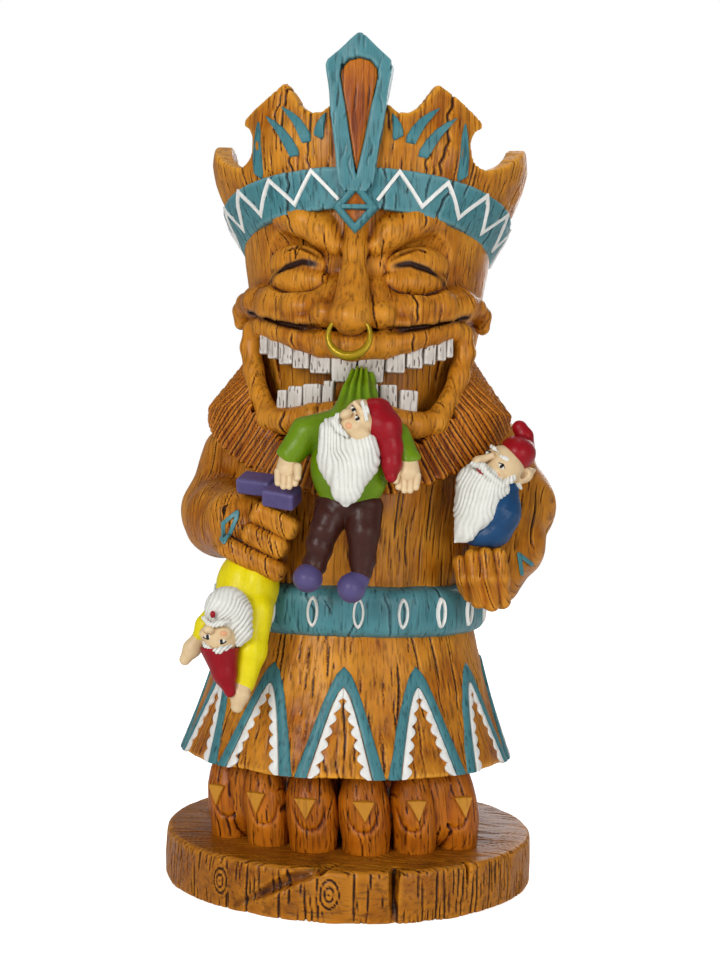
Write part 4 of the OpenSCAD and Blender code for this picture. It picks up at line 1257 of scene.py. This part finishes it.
def make_band():
    clay = Clay([-80, -80, BAND_LOW[2] - 3], [80, 80, BAND_HIGH[2] + 3], 0.75)

    def skin(x, y, z):
        r = radius(x, y)
        a = angle(x, y)
        outer = crown_outer(a, z)
        d = np.maximum(r - outer - 2.3, outer - 2 - r) * 0.9
        return -soft_min(-d, -(np.abs(z - band_height(a)) - BAND_HALF), 1.0)
    clay.everywhere(skin)

    def cracks(v, normals):
        depth = cracks_at(v, TOP_Z, [(-28.5, 0.0, -18, 18, 0.8), (31, 0.25, -18, 18, 0.8),
                                     (11, 0.02, -18, 8, 0.7), (66, 0.1, -32, 8, 0.9),
                                     (-70, 0.1, -32, 8, 0.9), (120, 0.1, -32, 8, 0.9), (-150, 0, -32, 8, 0.9)])
        return -1.2 * depth, depth
    build("crown_band", clay, ["crown_band"], TEAL, grooves=BRUSHED, lumps=0.3, shape=cracks)

    def surface(u, v, h):
        a = np.radians(u)
        z = band_height(a) + v
        r = crown_outer(a, z) + 2.2 + h
        return np.column_stack([AXIS_X + r * np.sin(a), AXIS_Y - r * np.cos(a), z])
    parts = []
    for s in (-1, 1):
        corners = []
        for k in range(19):
            a = 7.6 + 9.3 * k + 0.9 * math.sin(k * 2.7 + s)
            corners.append((s * a, -5.6 if k % 2 == 0 else 7.6 + 0.4 * math.sin(k * 1.7)))
        parts.append(zigzag(corners, 0.9, surface))
    relief("band_zigzag", parts, ["band_zigzag"], WHITE)


def zigzag(corners, half, surface):
    """A mitred raised line through the corners. u is in degrees, so widths across are scaled to match."""
    scale = 66 * math.pi / 180
    c = np.array(corners, float) * [scale, 1]
    points, sides = [], []
    for i in range(len(c)):
        before = c[i] - c[max(i - 1, 0)] if i else c[1] - c[0]
        after = c[min(i + 1, len(c) - 1)] - c[i] if i < len(c) - 1 else before
        d0, d1 = before / np.linalg.norm(before), after / np.linalg.norm(after)
        n0, n1 = np.array([-d0[1], d0[0]]), np.array([-d1[1], d1[0]])
        mitre = n0 + n1
        mitre /= np.linalg.norm(mitre)
        points.append(c[i])
        sides.append(mitre / max(mitre @ n1, 0.45))
    centre, side = [], []
    for i in range(len(c) - 1):
        for t in np.linspace(0, 1, 5, endpoint=i == len(c) - 2):
            centre.append(points[i] + (points[i + 1] - points[i]) * t)
            side.append(sides[i] * (1 - t) + sides[i + 1] * t if t in (0, 1) else None)
            if side[-1] is None:
                d = points[i + 1] - points[i]
                d = d / np.linalg.norm(d)
                side[-1] = np.array([-d[1], d[0]])
    centre, side = np.array(centre), np.array(side)
    outer = (centre + side * half) / [scale, 1]
    inner = (centre - side * half) / [scale, 1]
    return strip_between(outer, inner, 0.95, surface)


def outline_distance(x, z, points):
    """Signed distance to a closed outline, negative inside."""
    best = np.full(np.broadcast(x, z).shape, 1e9, np.float32)
    inside = np.zeros(best.shape, bool)
    n = len(points)
    for i in range(n):
        ax, az = points[i]
        bx, bz = points[(i + 1) % n]
        ex, ez = bx - ax, bz - az
        t = np.clip(((x - ax) * ex + (z - az) * ez) / (ex * ex + ez * ez), 0, 1)
        best = np.minimum(best, (x - ax - t * ex) ** 2 + (z - az - t * ez) ** 2)
        crosses = ((az > z) != (bz > z)) & (x < ex * (z - az) / (ez if ez else 1e-9) + ax)
        inside ^= crosses
    d = np.sqrt(best)
    return np.where(inside, -d, d)


def make_spike():
    low, high = SPIKE_LOW, SPIKE_HIGH
    half, tip = (high[0] - low[0]) / 2, high[2]
    foot = low[2]
    outer = [(-7.8, foot), (-4.6, foot - 4), (4.6, foot - 4), (7.8, foot), (half - 0.4, tip - 15),
             (half - 1.2, tip - 12.6), (1.2, tip - 0.6), (-1.2, tip - 0.6), (1.2 - half, tip - 12.6),
             (0.4 - half, tip - 15)]
    inner = [(0, tip - 65), (8.6, tip - 19.5), (8.2, tip - 16), (5, tip - 12.4), (0, tip - 11),
             (-5, tip - 12.4), (-8.2, tip - 16), (-8.6, tip - 19.5)]

    def front(z):
        return -70.8 - 0.02 * (z - foot)
    clay = Clay([-half - 3, high[1] - 16, foot - 3], [half + 3, high[1] + 8, tip + 3], 0.55)

    def frame_shape(x, y, z):
        d = outline_distance(x - AXIS_X + 0 * z, z + 0 * x, outer)
        hole = outline_distance(x - AXIS_X + 0 * z, z + 0 * x, inner)
        d = np.maximum(d, front(z) - y)
        d = np.maximum(d, y - front(z) - 8.5)
        return -soft_min(-d, np.maximum(hole, y - front(z) - 3.0), 1.0)
    clay.everywhere(frame_shape)
    build("spike_frame", clay, ["centre_spike"], TEAL, grooves=BRUSHED,
          lumps=0.3)
    inlay = Clay([-12, high[1] - 14, foot - 3], [12, high[1] + 8, tip], 0.55)

    def inlay_shape(x, y, z):
        d = outline_distance(x - AXIS_X + 0 * z, z + 0 * x, inner) + 0.2
        return np.maximum(np.maximum(d, front(z) + 2.2 - y), y - front(z) - 5)
    inlay.everywhere(inlay_shape)
    build("spike_inlay", inlay, ["centre_spike_inlay"], FOOT_WOOD,
          grooves=[(2.6, 40, 0.5, 0.6, 0.9)], lumps=0.2)


def make_diamond():
    low, high = box("band_diamond")
    mid = (low[2] + high[2]) / 2 + 0.6
    half = 12.0

    def surface(u, v, h):
        a = np.arcsin(np.clip(u / 70, -1, 1))
        y = -(crown_outer(a, v) * np.cos(a) + 3.6 + h)
        return np.column_stack([AXIS_X + u, y, v + 0 * u])

    def diamond(r, n=9):
        corners = [(0, r), (r * 0.88, 0), (0, -r), (-r * 0.88, 0)]
        line = []
        for i in range(4):
            a, b = np.array(corners[i]), np.array(corners[(i + 1) % 4])
            line += [a + (b - a) * t for t in np.linspace(0, 1, n, endpoint=False)]
        return np.array(line) + [0, mid]
    outer, inner = diamond(half), diamond(half - 5.2)
    parts = [strip_between(outer, inner, 2.2, surface, BEVELLED, True)]
    bar = [(-7.4, mid + 0.2), (0, mid + 0.2), (7.4, mid + 0.2)]
    parts.append(strip_between([(u, v + 1.2) for u, v in bar], [(u, v - 1.2) for u, v in bar], 1.9, surface))
    relief("band_diamond", parts, ["band_diamond"], TEAL)
    back = [plate(diamond(half - 4.4), -0.6, surface, 3.0)]
    relief("band_diamond_back", back, [], FOOT_WOOD)


def make_feathers():
    def surface(u, v, h):
        a = np.radians(u)
        r = crown_outer(a, v) + h
        return np.column_stack([AXIS_X + r * np.sin(a), AXIS_Y - r * np.cos(a), v])
    # each mark's tip and foot, as a turn and a height over the head, and how far it bows
    marks = [(31.5, 42, 19.5, 24, 1), (38.5, 38.5, 24.5, 18, 1), (42, 36.5, 42.5, 10, 0.2),
             (13, 38, 15.5, 26, -0.6)]
    parts = []
    scale = 74 * math.pi / 180
    for s in (-1, 1):
        for a0, z0, a1, z1, bow in marks:
            tip, end = np.array([a0 * scale, TOP_Z + z0]), np.array([a1 * scale, TOP_Z + z1])
            along = end - tip
            length = np.linalg.norm(along)
            along /= length
            side = np.array([-along[1], along[0]])
            t = np.array([0, 0.2, 0.45, 0.7, 0.9])
            wide = np.array([0.1, 1.2, 2.1, 2.6, 2.7])
            curve = -bow * 2.2 * np.sin(t * np.pi) * 0.8
            a_side = [tip + along * length * ti + side * (w + c) for ti, w, c in zip(t, wide, curve)]
            b_side = [tip + along * length * ti + side * (c - w) for ti, w, c in zip(t, wide, curve)]
            b_side.append(tip + along * length * 1.0 - side * 1.6)
            outline = np.array(a_side + b_side[::-1]) / [scale, 1] * [s, 1]
            parts.append(plate(outline, 1.1, surface, 2.2))
    relief("crown_feathers", parts, ["crown_feather_marks"], TEAL)


# ---- gnomes: every place is from the middle of the gnome's own shirt ----

GNOME_CELL = 0.42
FACE_CELL = 0.36


def gnome_grain(v):
    return v * [1.0, 0.5, 1.0]


def hair_shape(centre, direction):
    """Strands that fan out from centre along direction, as a shape for build()."""
    centre, direction = np.array(centre, float), np.array(direction, float)
    direction /= np.linalg.norm(direction)
    across = np.cross(direction, [0, 1, 0])

    def shape(v, normals):
        d = v - centre
        along, side = d @ direction, d @ across
        fan = side / (1 + np.maximum(along, 0) * 0.03)
        s = fan / 1.3 + 0.8 * noise(v / 8.0, 17)
        lock = noise(np.column_stack([fan / 3.2, along / 40, along / 40]), 3)
        valley = np.exp(-(((s % 1) - 0.5) / 0.2) ** 2) * (0.35 + 0.65 * smoothstep(-0.5, 0.6, lock))
        return 0.7 * lock - 0.6 * valley, valley * 0.3
    return shape


def gnome_piece(name, clay, node, material, shape=None, lumps=0.1, cavity=1.0):
    build(name, clay, [node] if node else [], material, grain=gnome_grain, lumps=lumps, shape=shape,
          cavity=cavity)


def make_eyes(name, places, at):
    """White almonds with dark pupils; each place is a centre and how far the eye is turned."""
    for part, material, radii, lift in (("whites", BEARD, (1.7, 1.0, 1.0), 0),
                                        ("pupils", EYE_DARK, (0.85, 0.9, 0.9), 0.4)):
        low, high = np.min([c for c, _ in places], 0) - 3, np.max([c for c, _ in places], 0) + 3
        clay = Clay(low, high, 0.22, at)
        for centre, turn in places:
            clay.blob(np.array(centre) - [0, lift, 0], radii, (0, turn, 0))
            if lift:
                lid = turn_matrix(0, turn, 0) @ np.array([[-1.9, 0, 1.9], [0, -0.2, 0], [0.4, 1.25, 0.4]])
                ends = (np.array(centre)[:, None] + lid).T
                clay.path(ends.tolist(), [0.35, 0.45, 0.35])
        gnome_piece(name + part, clay, "", material, lumps=0)


def make_blobs(name, material, blobs, at):
    """One piece made of a few ellipsoids: centre, radii, turn."""
    spots = np.array([c for c, _, _ in blobs], float)
    reach = max(max(r) for _, r, _ in blobs) + 1
    clay = Clay(spots.min(0) - reach, spots.max(0) + reach, 0.3, at)
    for centre, radii, turn in blobs:
        clay.blob(centre, radii, (0, turn, 0), 0.4)
    gnome_piece(name, clay, "", material, lumps=0)


def make_green_gnome():
    at = middle("green_gnome_shirt")
    shirt = Clay([-38, -25.8, -38.1], [40, 24.2, 33.9], GNOME_CELL, at)
    shirt.blob([1, -1.8, -10.1], [17.5, 13.5, 21], k=0)
    shirt.path([[2.8, 13.2, 27.9], [2.8, 6.2, 19.9], [1, 0.2, 6.9]], [6.6, 7.8, 12.6], 3)
    shirt.path([[-8, -1.8, 4.9], [-18.5, -3.8, 3.7], [-25.6, -5.8, -6.1]], [8.5, 7.2, 5.8], 2)
    shirt.path([[11, -1.8, 4.9], [20, -2.8, 2.9], [26.2, -4.8, -6.5]], [8, 6.8, 5.6], 2)
    for x, turn in ((-28.2, 35), (28.2, -30)):
        shirt.brick([x, -5.8, -12.7], [9, 12, 4], 0.3, (0, turn, 0), 0.5, True)

    def folds(v, normals):
        x, y, z = v.T
        up = smoothstep(at[2] + 9.9, at[2] + 22.9, z)
        fan = (x - at[0] - 2.8) / (1 + 0.05 * (at[2] + 27.9 - z))
        pleat = np.sin(fan * 2.1 + 0.8 * noise(v / 9, 3)) * up * 0.75
        soft = 0.7 * noise(np.column_stack([x / 6, y / 9, z / 7]), 5) * (1 - up)
        return pleat + soft, np.clip(-pleat, 0, 1) * 0.4
    gnome_piece("green_shirt", shirt, "green_gnome_shirt", GREEN, folds)

    legs = Clay([-26, -23.8, -64.1], [24, 20.2, -16.1], GNOME_CELL, at)
    legs.blob([1, 0.2, -27.1], [15, 11, 8], k=0)
    legs.path([[-5, -1.8, -29.1], [-9.6, -5.8, -39.1], [-13, -5.8, -53.6]], [8.5, 6.7, 5.5], 1.5)
    legs.path([[7, -1.8, -29.1], [8, -5.8, -39.1], [7.7, -5.8, -55.6]], [9, 7.4, 5.3], 1.5)

    def creases(v, normals):
        fold = noise(np.column_stack([v[:, 0] / 7, v[:, 1] / 8, v[:, 2] / 5 + v[:, 0] / 12]), 23)
        return 0.55 * fold, np.zeros(len(v))
    gnome_piece("green_trousers", legs, "green_gnome_trousers", BROWN, creases)

    boots = Clay([-28, -21.8, -76.1], [18, 6.2, -48.1], GNOME_CELL, at)
    boots.blob([-15.6, -8.8, -59.9], [6.6, 7.6, 6.1], (0, 18, 0))
    boots.blob([-15, -6.8, -57.5], [5.2, 6, 4.4], k=1.5)
    boots.blob([3.6, -8.8, -63.3], [6.2, 7.6, 6.6], (0, -22, 0), 0)
    boots.blob([6.4, -6.8, -59.7], [5, 6, 4.4], k=1.5)
    gnome_piece("green_boots", boots, "green_gnome_boots", PURPLE)

    face = Clay([-8, -29.8, -6.1], [20, 2.2, 25.9], FACE_CELL, at)
    face.blob([6, -10.8, 9.4], [8.2, 9.5, 9.4])
    face.blob([0, -20.2, 11.8], [3.0, 3.2, 2.1], (0, -35, 0), 0.8)
    face.blob([1.9, -18.6, 6.7], [4.6, 3.2, 4.0], k=1.2)
    face.blob([6, -18.3, 3.4], [4.4, 2.8, 3.2], k=1.2)
    face.path([[3.6, -19.2, 16.5], [6.6, -20, 12.9], [7.4, -19.4, 8.9]], [1.2, 1.3, 1.0], 0.8)
    gnome_piece("green_head", face, "green_gnome_head", SKIN, lumps=0.05, cavity=1.6)
    make_blobs("green_cheek", ROSE, [((1.6, -18.8, 6.7), (3.0, 3.3, 2.6), 20)], at)
    make_eyes("green_eye_", [((4.9, -19.8, 9.6), 62), ((3, -19, 13.6), 62)], at)
    make_blobs("green_mouth", RED, [((-3.9, -22.2, 8.1), (0.6, 0.9, 1.1), 20)], at)

    beard = Clay([-24, -29.8, -34.1], [24, 2.2, 19.9], GNOME_CELL, at)
    beard.blob([1, -14.3, -7.1], [13.8, 8, 13.5])
    beard.path([[1.5, -14.8, -12.1], [1.2, -16.3, -20.6], [0.8, -16.3, -27.3]], [11.5, 6.8, 1.4], 2,
               flat=(1, 0.8, 1))
    beard.blob([-5.6, -15.8, 3.4], [6, 5.4, 8], (0, 18, 0), 2)
    beard.path([[-3.4, -20.8, 10.9], [-4.8, -21.8, 8.4], [-2.6, -22.4, 5.1], [1, -21.4, 2.5]],
               [1.5, 1.8, 1.8, 1.2], 0.5)
    beard.blob([9, -15.8, -1.6], [5, 5.6, 6], k=2)
    beard.path([[6.8, -20, 17.1], [8.4, -20.8, 13.1], [9, -20.2, 9.3]], [0.9, 1.2, 0.8], 0.4)
    beard.blob([6.2, -10.4, 10.9], [7.2, 8.6, 8.6], cut=True)
    gnome_piece("green_beard", beard, "green_gnome_beard", BEARD,
                hair_shape(at + [-3, -15.8, 13.9], [0.1, 0, -1]))

    hat = Clay([0, -27.8, -26.1], [34, 6.2, 27.9], GNOME_CELL, at)
    hat.path([[11.2, -8.8, 10.4], [15.3, -9.8, 6.7], [18.4, -10.8, -1.6], [19.6, -11.8, -9.1],
              [19.9, -12.3, -13.9]],
             [9.6, 8.2, 5.6, 4.3, 2.9], 2)
    hat.brick([-1.4, -9.8, 13.9], [10.2, 30, 22], 0, (0, -10, 0), 0.8, True)

    def hat_folds(v, normals):
        slant = np.column_stack([v[:, 0] / 5 + v[:, 2] / 9, v[:, 1] / 7, v[:, 2] / 12])
        return 0.6 * noise(slant, 9), np.zeros(len(v))
    gnome_piece("green_hat", hat, "green_gnome_hat", RED, hat_folds)

    hands = Clay([-38, -17.8, -28.1], [38, 6.2, -0.1], FACE_CELL, at)
    for x, s in ((-26.0, 1), (26.6, -1)):
        hands.path([[x + 0.8 * s, -5.8, -6.6], [x, -6.8, -12.5]], [4.7, 5.3], 1.5, flat=(1, 0.85, 1))
        for k in range(4):
            knuckle = [x + s * (2.65 * k - 4.1), -8.4, -13.6]
            end = [x + s * (2.5 * k - 3.8), -9.8, -18.7 - 1.4 * (k in (1, 2))]
            hands.path([knuckle, end], [1.8, 1.5], 0.3)
        hands.path([[x + 4.6 * s, -9.8, -11.6], [x + 5.0 * s, -11.8, -16.1]], [1.9, 1.5], 0.5)
    gnome_piece("green_hands", hands, "green_gnome_hands", SKIN, lumps=0.05, cavity=1.6)


def make_blue_gnome():
    at = middle("blue_gnome_shirt")
    shirt = Clay([-19, -22, -26], [23, 16, 26], GNOME_CELL, at)
    shirt.path([[0.8, -1, 9], [-1, -3, -1], [-2, -4, -8.4]], [8.2, 10.4, 8.8], 3)
    shirt.blob([-9, -6, -12], [7.5, 6, 4.8], k=3)

    def folds(v, normals):
        crease = noise(np.column_stack([(v[:, 0] - v[:, 2]) / 5, v[:, 1] / 8, (v[:, 0] + v[:, 2]) / 22]), 41)
        return 0.6 * crease, np.zeros(len(v))
    gnome_piece("blue_shirt", shirt, "blue_gnome_shirt", BLUE, folds)
    face = Clay([-21, -26, 4], [23, 16, 40], FACE_CELL, at)
    face.blob([1, -3, 20.4], [9.6, 10, 9.4])
    face.blob([-10.6, -12.6, 21.9], [2.9, 3.6, 2.2], (0, -40, 0), 1.2)
    face.path([[-10.4, -13, 22], [-4.4, -11.6, 24.6]], [2.0, 1.5], 1.0)
    face.blob([-1.4, -10.4, 15.8], [3.6, 2.6, 2.8], (0, 45, 0), 1.2)
    face.path([[7, -3, 15.2], [11, -0.5, 16.9], [15.3, 2.5, 18.8]], [4.0, 3.6, 0.9], 1.0, flat=(1, 0.7, 1))
    face.blob([10.6, -4.2, 16.7], [3.2, 1.7, 1.9], (0, -22, 0), 0.5, True)
    gnome_piece("blue_head", face, "blue_gnome_head", SKIN, lumps=0.05, cavity=1.6)
    make_blobs("blue_cheeks", ROSE, [((-1.2, -10.7, 15.9), (2.4, 2.5, 1.7), 45)], at)
    make_eyes("blue_eye_", [((-5.7, -9.9, 25.3), 42), ((0.2, -12.5, 19.9), 42)], at)
    make_blobs("blue_mouth", RED, [((-9, -15.4, 17.4), (2.5, 1.6, 1.1), 42)], at)
    beard = Clay([-31, -28, -24], [17, 6, 36], GNOME_CELL, at)
    beard.path([[-8.8, -9, 10.2], [-11.2, -11, 0], [-15.4, -12.5, -10], [-19.4, -13, -14.8]],
               [11.4, 9.4, 5, 1.2], 2,
               flat=(1, 0.75, 1))
    beard.blob([-1, -8.5, 9.5], [5, 5, 5], k=2)
    for line, sizes in (([[-12.2, -15, 20.3], [-8.6, -16.6, 19.7], [-4.6, -15.8, 15.3], [0.5, -12.8, 11.4]],
                         [1.5, 2.0, 2.1, 1.7]),
                        ([[0.5, -12.8, 11.4], [5.2, -8.5, 15.2], [6.6, -6.5, 20]], [1.8, 1.8, 1.3]),
                        ([[-12.6, -14.8, 17.4], [-9.4, -15.8, 14.7]], [1.1, 1.1]),
                        ([[-4.8, -9, 29], [-3, -10.8, 27.8], [-1.4, -12, 26.3]], [0.9, 1.3, 0.8]),
                        ([[-0.8, -12.6, 24.8], [2, -11.6, 23.3], [4.6, -9.6, 21.2]], [0.8, 1.5, 1.1]),
                        ([[8.2, -4, 12.6], [9.4, -3.4, 10.4]], [1.6, 1.4])):
        beard.path(line, sizes, 0.5)
    gnome_piece("blue_beard", beard, "blue_gnome_beard", BEARD,
                hair_shape(at + [-7, -12, 22], [-0.32, 0, -0.95]))
    hat = Clay([-13, -22, 12], [27, 22, 48], GNOME_CELL, at)
    hat.blob([7.3, 0.5, 26.4], [8.6, 10.6, 8.2])
    hat.brick([-2.3, 1, 17.3], [18, 30, 10], 0, (0, 52, 0), 0.9, True)
    hat.path([[10.8, 4, 30], [10.6, 4, 34.5], [8.2, 4, 38.2]], [4.6, 3.9, 3.5], 1.0)
    gnome_piece("blue_hat", hat, "blue_gnome_hat", RED)


def make_yellow_gnome():
    at = middle("yellow_gnome_shirt")
    shirt = Clay([-30.2, -26.5, -34.4], [27.8, 25.5, 39.6], GNOME_CELL, at)
    shirt.path([[4.4, 10.5, 25.6], [4, 6.5, 18.6], [3.3, 1.5, 3.6]], [11.8, 13.6, 12.6], 3,
               flat=(1, 0.85, 1))
    shirt.path([[8.8, -0.5, 7.6], [8.4, -4.5, -10.4], [5.8, -7, -24.4]], [8, 7, 5.2], 2)
    shirt.path([[-6.2, -1.5, 7.6], [-12.2, -5.5, 0.6], [-14.4, -6.5, -3.8]], [6, 4.2, 3.3], 2)
    shirt.brick([4.4, -10.5, -31.8], [9, 12, 4], 0.3, (0, 16, 0), 0.4, True)

    def folds(v, normals):
        pull = noise(np.column_stack([v[:, 0] / 4.2, v[:, 1] / 7, v[:, 2] / 22]), 31)
        return 0.6 * pull * smoothstep(at[2] - 28.4, at[2] - 14.4, v[:, 2]), np.zeros(len(v))
    gnome_piece("yellow_shirt", shirt, "yellow_gnome_shirt", YELLOW, folds)
    face = Clay([-24.2, -30.5, -20.4], [11.8, -0.5, 9.6], FACE_CELL, at)
    face.blob([-4.5, -13, -3.6], [8.3, 8.6, 8.6])
    face.blob([-8, -21.5, 0.4], [2.5, 2.6, 1.9], (0, 10, 0), 0.9)
    face.blob([-1.6, -19.7, -1.2], [3.4, 2.4, 2.6], k=1.2)
    face.blob([-10.6, -18.5, -1.8], [2.0, 2.4, 2.4], k=1)
    gnome_piece("yellow_head", face, "yellow_gnome_head", SKIN, lumps=0.05, cavity=1.6)
    make_blobs("yellow_cheek", ROSE, [((-1.4, -20.2, -1.2), (2.5, 2.2, 1.8), 0)], at)
    make_eyes("yellow_eye_", [((-2.2, -20.7, -4.5), 176), ((-8.4, -20.4, -2.8), 176)], at)
    make_blobs("yellow_mouth", RED, [((-6.2, -22.1, 7), (1.2, 1.3, 1.6), 0)], at)
    beard = Clay([-28.2, -32.5, -16.4], [17.8, 3.5, 29.6], GNOME_CELL, at)
    beard.blob([-1.6, -12.5, 8.2], [10.4, 8.6, 10.9])
    beard.path([[5.2, -12.5, 7.6], [6, -13.5, -1.4], [4.4, -14, -5.6]], [4.6, 4.0, 2.3], 2)
    beard.path([[-10.9, -19.1, 5], [-8, -21.7, 2.8], [-5.4, -22.5, 2.6], [-2.2, -21.9, 3.4],
                [0.6, -20.7, 4.2]], [1.2, 1.6, 1.3, 1.6, 1.0], 0.5)
    for line in ([[-11.4, -17.7, -5], [-9.6, -19.9, -7], [-7.6, -20.5, -7.8]],
                 [[-6.4, -20.9, -8.4], [-3.4, -21.1, -8.8], [-0.4, -20.1, -7.8], [1.6, -18.1, -6.6]]):
        beard.path(line, [0.8, 1.1, 1.0, 0.6], 0.4)
    gnome_piece("yellow_beard", beard, "yellow_gnome_beard", BEARD,
                hair_shape(at + [-8.2, -16.5, -4.4], [0.5, 0, 0.86]))
    hat = Clay([-26.2, -30.5, -38.4], [11.8, 3.5, 1.6], GNOME_CELL, at)
    hat.path([[-4.2, -13, -8.4], [-1.8, -13.5, -19.4], [0.9, -13.5, -27.6]], [8.8, 5.4, 2.5], 2)
    hat.blob([-4.6, -13, -0.4], [13, 13, 9.8], k=0.6, cut=True)
    gnome_piece("yellow_hat", hat, "yellow_gnome_hat", RED)
    hands = Clay([-32.2, -22.5, -44.4], [15.8, 3.5, 1.6], FACE_CELL, at)
    hands.path([[-15, -7, -4.9], [-17.8, -7.5, -10], [-20.8, -8, -15]], [3.2, 4.0, 2.6], 1, flat=(1, 0.7, 1))
    hands.path([[5.4, -8.5, -24], [4.8, -10, -29.4], [3.9, -11, -34.4]], [4.3, 4.3, 2.8], 1,
               flat=(1, 0.8, 1))
    for k in range(2):
        hands.path([[2.4 * k - 19.8, -10.9, -12.9 - k], [2.2 * k - 22.2, -10.5, -17.8]], [0.3, 0.4], 0.4,
                   True)
        hands.path([[2.6 * k + 3.2, -13.9, -30.9], [2.0 * k + 2.6, -13.5, -36.4]], [0.3, 0.4], 0.4, True)
    gnome_piece("yellow_hands", hands, "yellow_gnome_hands", SKIN, lumps=0.05, cavity=1.6)
    boots = Clay([-14.2, -22.5, 47.6], [35.8, 15.5, 77.6], GNOME_CELL, at)
    boots.brick([7.6, 2.5, 64.2], [8.3, 5.5, 3.7], 1.4, (24, 5, -16))
    boots.brick([20, -4.5, 59.2], [7.6, 5.8, 4.1], 1.4, (24, 8, -14))
    gnome_piece("yellow_boots", boots, "yellow_gnome_boots", PURPLE)


for make in (make_base, make_feet, make_skirt, make_belt, make_torso, make_beard, make_head, make_teeth,
             make_nose_ring, make_crown, make_band, make_spike, make_diamond, make_feathers,
             make_green_gnome,
             make_blue_gnome, make_yellow_gnome):
    make()
make_arm_marks(make_right_arm(), make_left_arm())


# ---- floor and light ----

SOFT_LIGHT = 0.28
FLOOR_LIGHT = 0.12


def seen_and_cast(tree, cast, seen):
    """A strength that is seen in the picture and another that falls on the figure, so white stays white."""
    path = tree.nodes.new("ShaderNodeLightPath")
    level = tree.nodes.new("ShaderNodeMapRange")
    level.inputs["To Min"].default_value = cast
    level.inputs["To Max"].default_value = seen
    tree.links.new(path.outputs["Is Camera Ray"], level.inputs["Value"])
    return level.outputs["Result"]


def make_studio():
    mesh = bpy.data.meshes.new("floor")
    mesh.from_pydata([(-9, -9, 0), (9, -9, 0), (9, 9, 0), (-9, 9, 0)], [], [(0, 1, 2, 3)])
    floor = bpy.data.objects.new("floor", mesh)
    bpy.context.scene.collection.objects.link(floor)
    material = bpy.data.materials.new("floor")
    material.use_nodes = True
    shader = material.node_tree.nodes["Principled BSDF"]
    shader.inputs["Base Color"].default_value = (0.8, 0.8, 0.8, 1)
    shader.inputs["Roughness"].default_value = 0.9
    shader.inputs["Specular IOR Level"].default_value = 0.1
    shader.inputs["Emission Color"].default_value = (1, 1, 1, 1)
    glow = seen_and_cast(material.node_tree, FLOOR_LIGHT, 0.8)
    material.node_tree.links.new(glow, shader.inputs["Emission Strength"])
    mesh.materials.append(material)
    world = bpy.data.worlds.new("studio")
    world.use_nodes = True
    backdrop = world.node_tree.nodes["Background"]
    backdrop.inputs["Color"].default_value = (1, 1, 1, 1)
    world.node_tree.links.new(seen_and_cast(world.node_tree, SOFT_LIGHT, 1.0), backdrop.inputs["Strength"])
    bpy.context.scene.world = world
    for name, place, size, power in (("key", (-0.55, -1.35, 0.6), 0.5, 10.5),
                                     ("fill", (0.9, -1.1, 0.35), 0.6, 5.2),
                                     ("top", (0, 0.3, 1.5), 0.8, 2.4), ("rear", (0.3, 1.4, 0.8), 0.9, 8)):
        data = bpy.data.lights.new(name, "AREA")
        data.size = size
        data.energy = power
        lamp = bpy.data.objects.new(name, data)
        lamp.location = place
        away = np.array(place) - np.array((0, 0, 0.2))
        yaw = math.atan2(away[1], away[0])
        pitch = math.acos(away[2] / np.linalg.norm(away))
        lamp.rotation_euler = (0, pitch, yaw)
        bpy.context.scene.collection.objects.link(lamp)


make_studio()
bpy.context.scene.view_settings.view_transform = "Standard"
